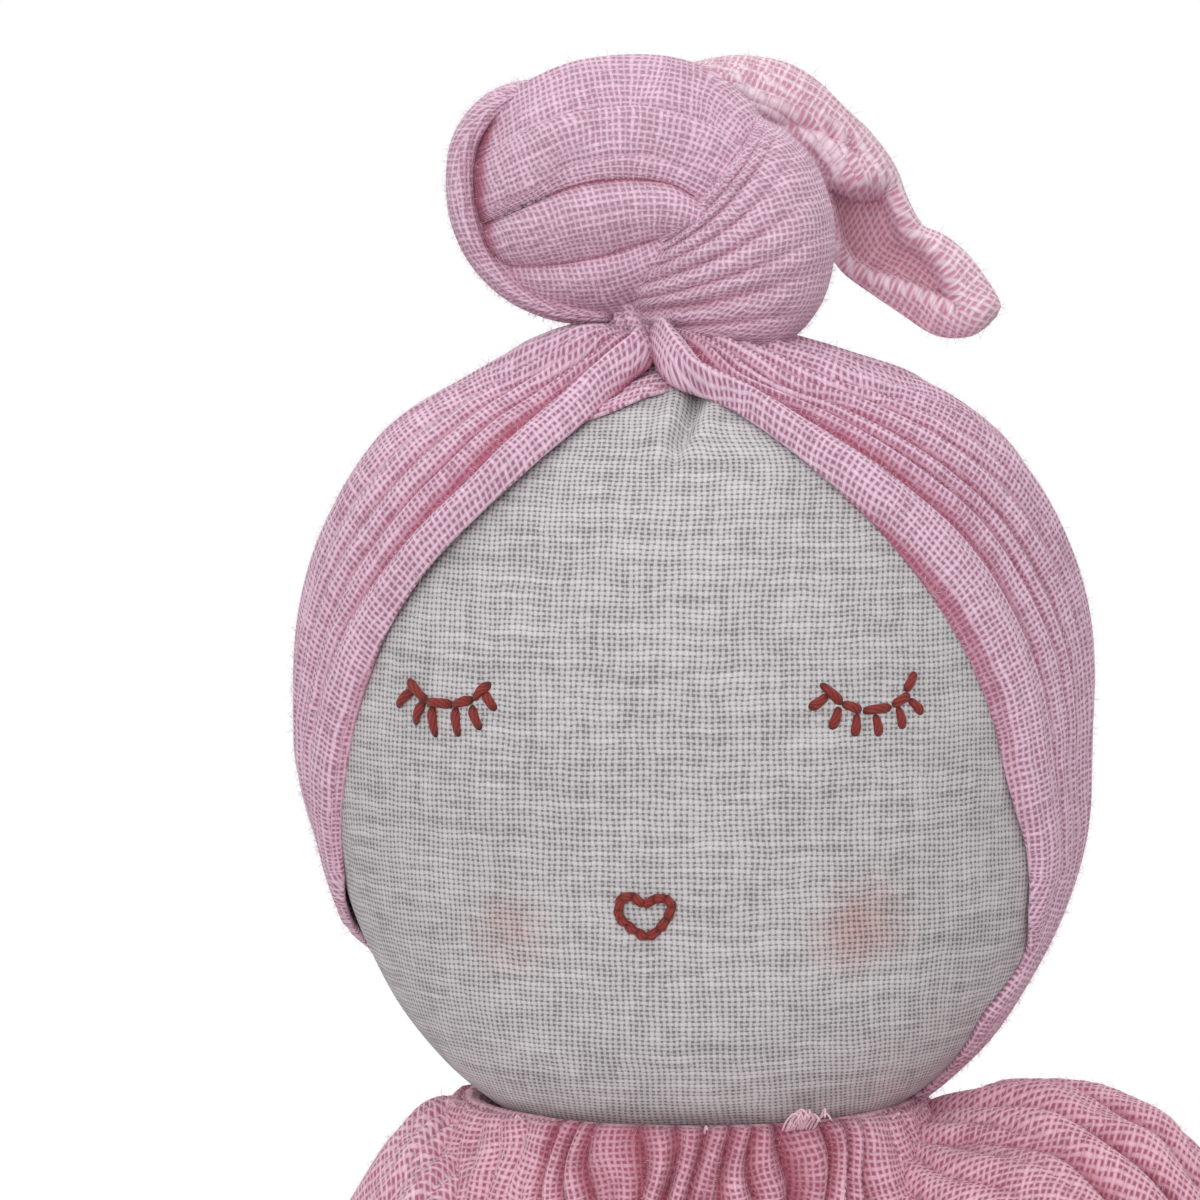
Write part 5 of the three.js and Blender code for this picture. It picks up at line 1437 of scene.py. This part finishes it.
class DOLL_OT_nap(bpy.types.Operator):
    """Raise the muslin's nap: short loose fibres that stand off the cloth"""
    bl_idname = "doll.nap"
    bl_label = "Nap"

    def execute(self, context):
        finishes = cloths(context.scene)
        for seed, (name, sources, count, slot, body) in enumerate(NAPS):
            piece = self.fibres(name, sources, count, 100 + seed)
            dress_up(piece, finishes.nap if slot == "wrap_muslin" else finishes.dress_nap, body)
            if not body:
                bend_with_neck(piece)
        return {"FINISHED"}

    def fibres(self, name, sources, count, seed):
        """One fibre, repeated and then bent and placed on the outer faces of the cloth, each in its own way."""
        draws = np.random.default_rng(seed)
        faces = [self.outer_faces(bpy.data.objects[source].data) for source in sources]
        root, out, area = (np.concatenate(rows) for rows in zip(*faces))
        pick = draws.choice(len(root), count, p=area / area.sum())
        root, out = root[pick] / MM, out[pick]

        def straight(u, v):
            ring = np.where((v > 0.01) & (v < 0.99), 1.0, 0.0)
            return np.stack([ring * np.cos(math.tau * u), ring * np.sin(math.tau * u), v], axis=1), np.ones(len(u))

        piece = grid_piece(name, 3, 2, straight)
        one = self.read(piece.data.vertices, "co", 3) / MM
        copies = piece.modifiers.new("Copies", "ARRAY")
        copies.count = count
        copies.use_relative_offset = False
        bpy.ops.object.modifier_apply(modifier=copies.name)
        aside = unit(np.cross(out, draws.normal(size=(count, 3))))
        up = np.cross(aside, out)
        reach = draws.uniform(0.3, 0.95, (count, 1))
        lean = draws.uniform(0.4, 2.0, (count, 1))
        curl = draws.uniform(-0.7, 0.7, (count, 1))
        middle = root + (out * 0.55 + aside * 0.3 * lean) * reach
        tip = root + (out * 0.6 + aside * lean + up * curl) * reach
        t = one[:, 2][None, :, None]
        start = (root - 0.15 * out)[:, None]
        along = start * (1 - t) ** 2 + 2 * t * (1 - t) * middle[:, None] + t ** 2 * tip[:, None]
        ring = (aside[:, None] * one[:, 0][None, :, None] + up[:, None] * one[:, 1][None, :, None]) * FIBRE
        piece.data.vertices.foreach_set("co", ((along + ring) * MM).astype(np.float32).ravel())
        outward(piece)
        return piece

    def outer_faces(self, mesh):
        """The places, outward ways and areas of the faces that look away from the piece's middle."""
        centre, way = (self.read(mesh.polygons, what, 3) for what in ("center", "normal"))
        area = self.read(mesh.polygons, "area", 1)[:, 0]
        seen = np.sum((centre - centre.mean(axis=0)) * way, axis=1) > 0
        return centre[seen], way[seen], area[seen]

    def read(self, rows, what, size):
        values = np.empty(len(rows) * size, np.float32)
        rows.foreach_get(what, values)
        return values.reshape(-1, size).astype(float)


class DOLL_OT_rattle(bpy.types.Operator):
    """Give the rattle's capsule and beads their moulded plastics"""
    bl_idname = "doll.rattle"
    bl_label = "Rattle"

    def execute(self, context):
        finishes = cloths(context.scene)
        for name, node in frame["nodes"].items():
            if name.startswith("rattle_"):
                node.data.materials.clear()
                node.data.materials.append(finishes.bead if "bead" in name else finishes.capsule)
        return {"FINISHED"}


LAMPS_AIM = Vector((0, 0, 0.11))


class DOLL_OT_stage(bpy.types.Operator):
    """Set the pale floor, the soft lights and the camera"""
    bl_idname = "doll.stage"
    bl_label = "Stage"

    def execute(self, context):
        scene = context.scene
        stage = scene.doll_stage
        scene.view_settings.view_transform = "Standard"
        self.room(scene, stage)
        self.floor(stage)
        self.lamp("top_light", at=(-0.25, 0.1, 1.2), size=1.1, power=stage.key)
        self.lamp("front_light", at=(-0.15, -1.6, 0.45), size=1.2, power=stage.fill)
        self.lamp("back_light", at=(0.55, 0.95, 0.75), size=0.9, power=stage.rim)
        self.camera(scene, stage)
        return {"FINISHED"}

    def room(self, scene, stage):
        """Even light from all round, and plain white where the camera or a reflection looks past the floor."""
        world = bpy.data.worlds.new("white_room")
        world.use_nodes = True
        tree = world.node_tree
        tree.nodes.clear()
        strength = ranged(tree, self.seen(tree), 0, 1, stage.ambient, 1.0)
        light = add(tree, "Background", {"Color": WHITE, "Strength": strength})
        add(tree, "OutputWorld", {"Surface": light.outputs[0]})
        scene.world = world

    def seen(self, tree):
        """1 for what the camera sees, directly or by reflection or through something clear."""
        path = add(tree, "LightPath").outputs
        first = calc(tree, "MAXIMUM", path["Is Camera Ray"], path["Is Glossy Ray"])
        return calc(tree, "MAXIMUM", first, path["Is Transmission Ray"])

    def floor(self, stage):
        bpy.ops.object.select_all(action="DESELECT")
        bpy.ops.mesh.primitive_plane_add(size=6)
        plane = bpy.context.object
        plane.name = "floor"
        # White paper that keeps the doll's shadow and runs out into the white room.
        tree = blank("white_paper_sweep")
        matt = add(tree, "BsdfDiffuse", {"Color": rgba(stage.floor)})
        glow = add(tree, "Emission", {"Color": WHITE, "Strength": self.seen(tree)})
        place = add(tree, "TexCoord").outputs["Object"]
        away = add(tree, "VectorMath", {0: place}, operation="LENGTH").outputs["Value"]
        out = ranged(tree, away, 0.1, 0.45, 0.12, 1.0, "SMOOTHSTEP")
        both = add(tree, "MixShader", {0: out, 1: matt.outputs[0], 2: glow.outputs[0]})
        add(tree, "OutputMaterial", {"Surface": both.outputs[0]})
        plane.data.materials.append(bpy.data.materials["white_paper_sweep"])

    def lamp(self, name, at, size, power):
        light = bpy.data.lights.new(name, "AREA")
        light.shape, light.size, light.energy = "DISK", size, power
        lamp = bpy.data.objects.new(name, light)
        lamp.location = at
        lamp.rotation_euler = (LAMPS_AIM - Vector(at)).to_track_quat("-Z", "Y").to_euler()
        lamp.visible_camera = False
        bpy.context.collection.objects.link(lamp)

    def camera(self, scene, stage):
        a, e = stage.azimuth, stage.elevation
        back = Vector((math.sin(a) * math.cos(e), -math.cos(a) * math.cos(e), math.sin(e)))
        right = Vector((math.cos(a), math.sin(a), 0))
        up = back.cross(right)
        data = bpy.data.cameras.new("camera")
        data.lens, data.sensor_width = stage.lens, 36
        data.clip_start = 0.05
        camera = bpy.data.objects.new("camera", data)
        camera.location = HEAD_AT + right * stage.aim_across + up * stage.aim_up + back * stage.distance
        camera.rotation_euler = back.to_track_quat("Z", "Y").to_euler()
        bpy.context.collection.objects.link(camera)
        scene.camera = camera


OPERATORS = [
    DOLL_OT_stage, DOLL_OT_head, DOLL_OT_embroidery, DOLL_OT_scarf, DOLL_OT_knot, DOLL_OT_tail,
    DOLL_OT_limbs, DOLL_OT_dress, DOLL_OT_sleeves, DOLL_OT_nap, DOLL_OT_rattle,
]
GROUPS = {
    "doll_head": DollHead, "doll_scarf": DollScarf, "doll_dress": DollDress,
    "doll_body": DollBody, "doll_stage": DollStage,
}


class DOLL_PT_panel(bpy.types.Panel):
    """The doll's pieces, in the order in which they are made"""
    bl_idname = "DOLL_PT_panel"
    bl_label = "Rag rattle doll"
    bl_space_type = "VIEW_3D"
    bl_region_type = "UI"
    bl_category = "Doll"

    def draw(self, context):
        for operator in OPERATORS:
            self.layout.operator(operator.bl_idname)
        for name in GROUPS:
            group = getattr(context.scene, name)
            box = self.layout.box()
            for prop in group.bl_rna.properties:
                if prop.identifier not in {"rna_type", "name"}:
                    box.prop(group, prop.identifier)


CLASSES = [*GROUPS.values(), *OPERATORS, DOLL_PT_panel]


def register():
    for cls in CLASSES:
        bpy.utils.register_class(cls)
    for name, group in GROUPS.items():
        setattr(bpy.types.Scene, name, PointerProperty(type=group))


def unregister():
    for name in GROUPS:
        delattr(bpy.types.Scene, name)
    for cls in reversed(CLASSES):
        bpy.utils.unregister_class(cls)


def main():
    register()
    for operator in OPERATORS:
        group, name = operator.bl_idname.split(".")
        getattr(getattr(bpy.ops, group), name)()


if __name__ == "__main__":
    main()
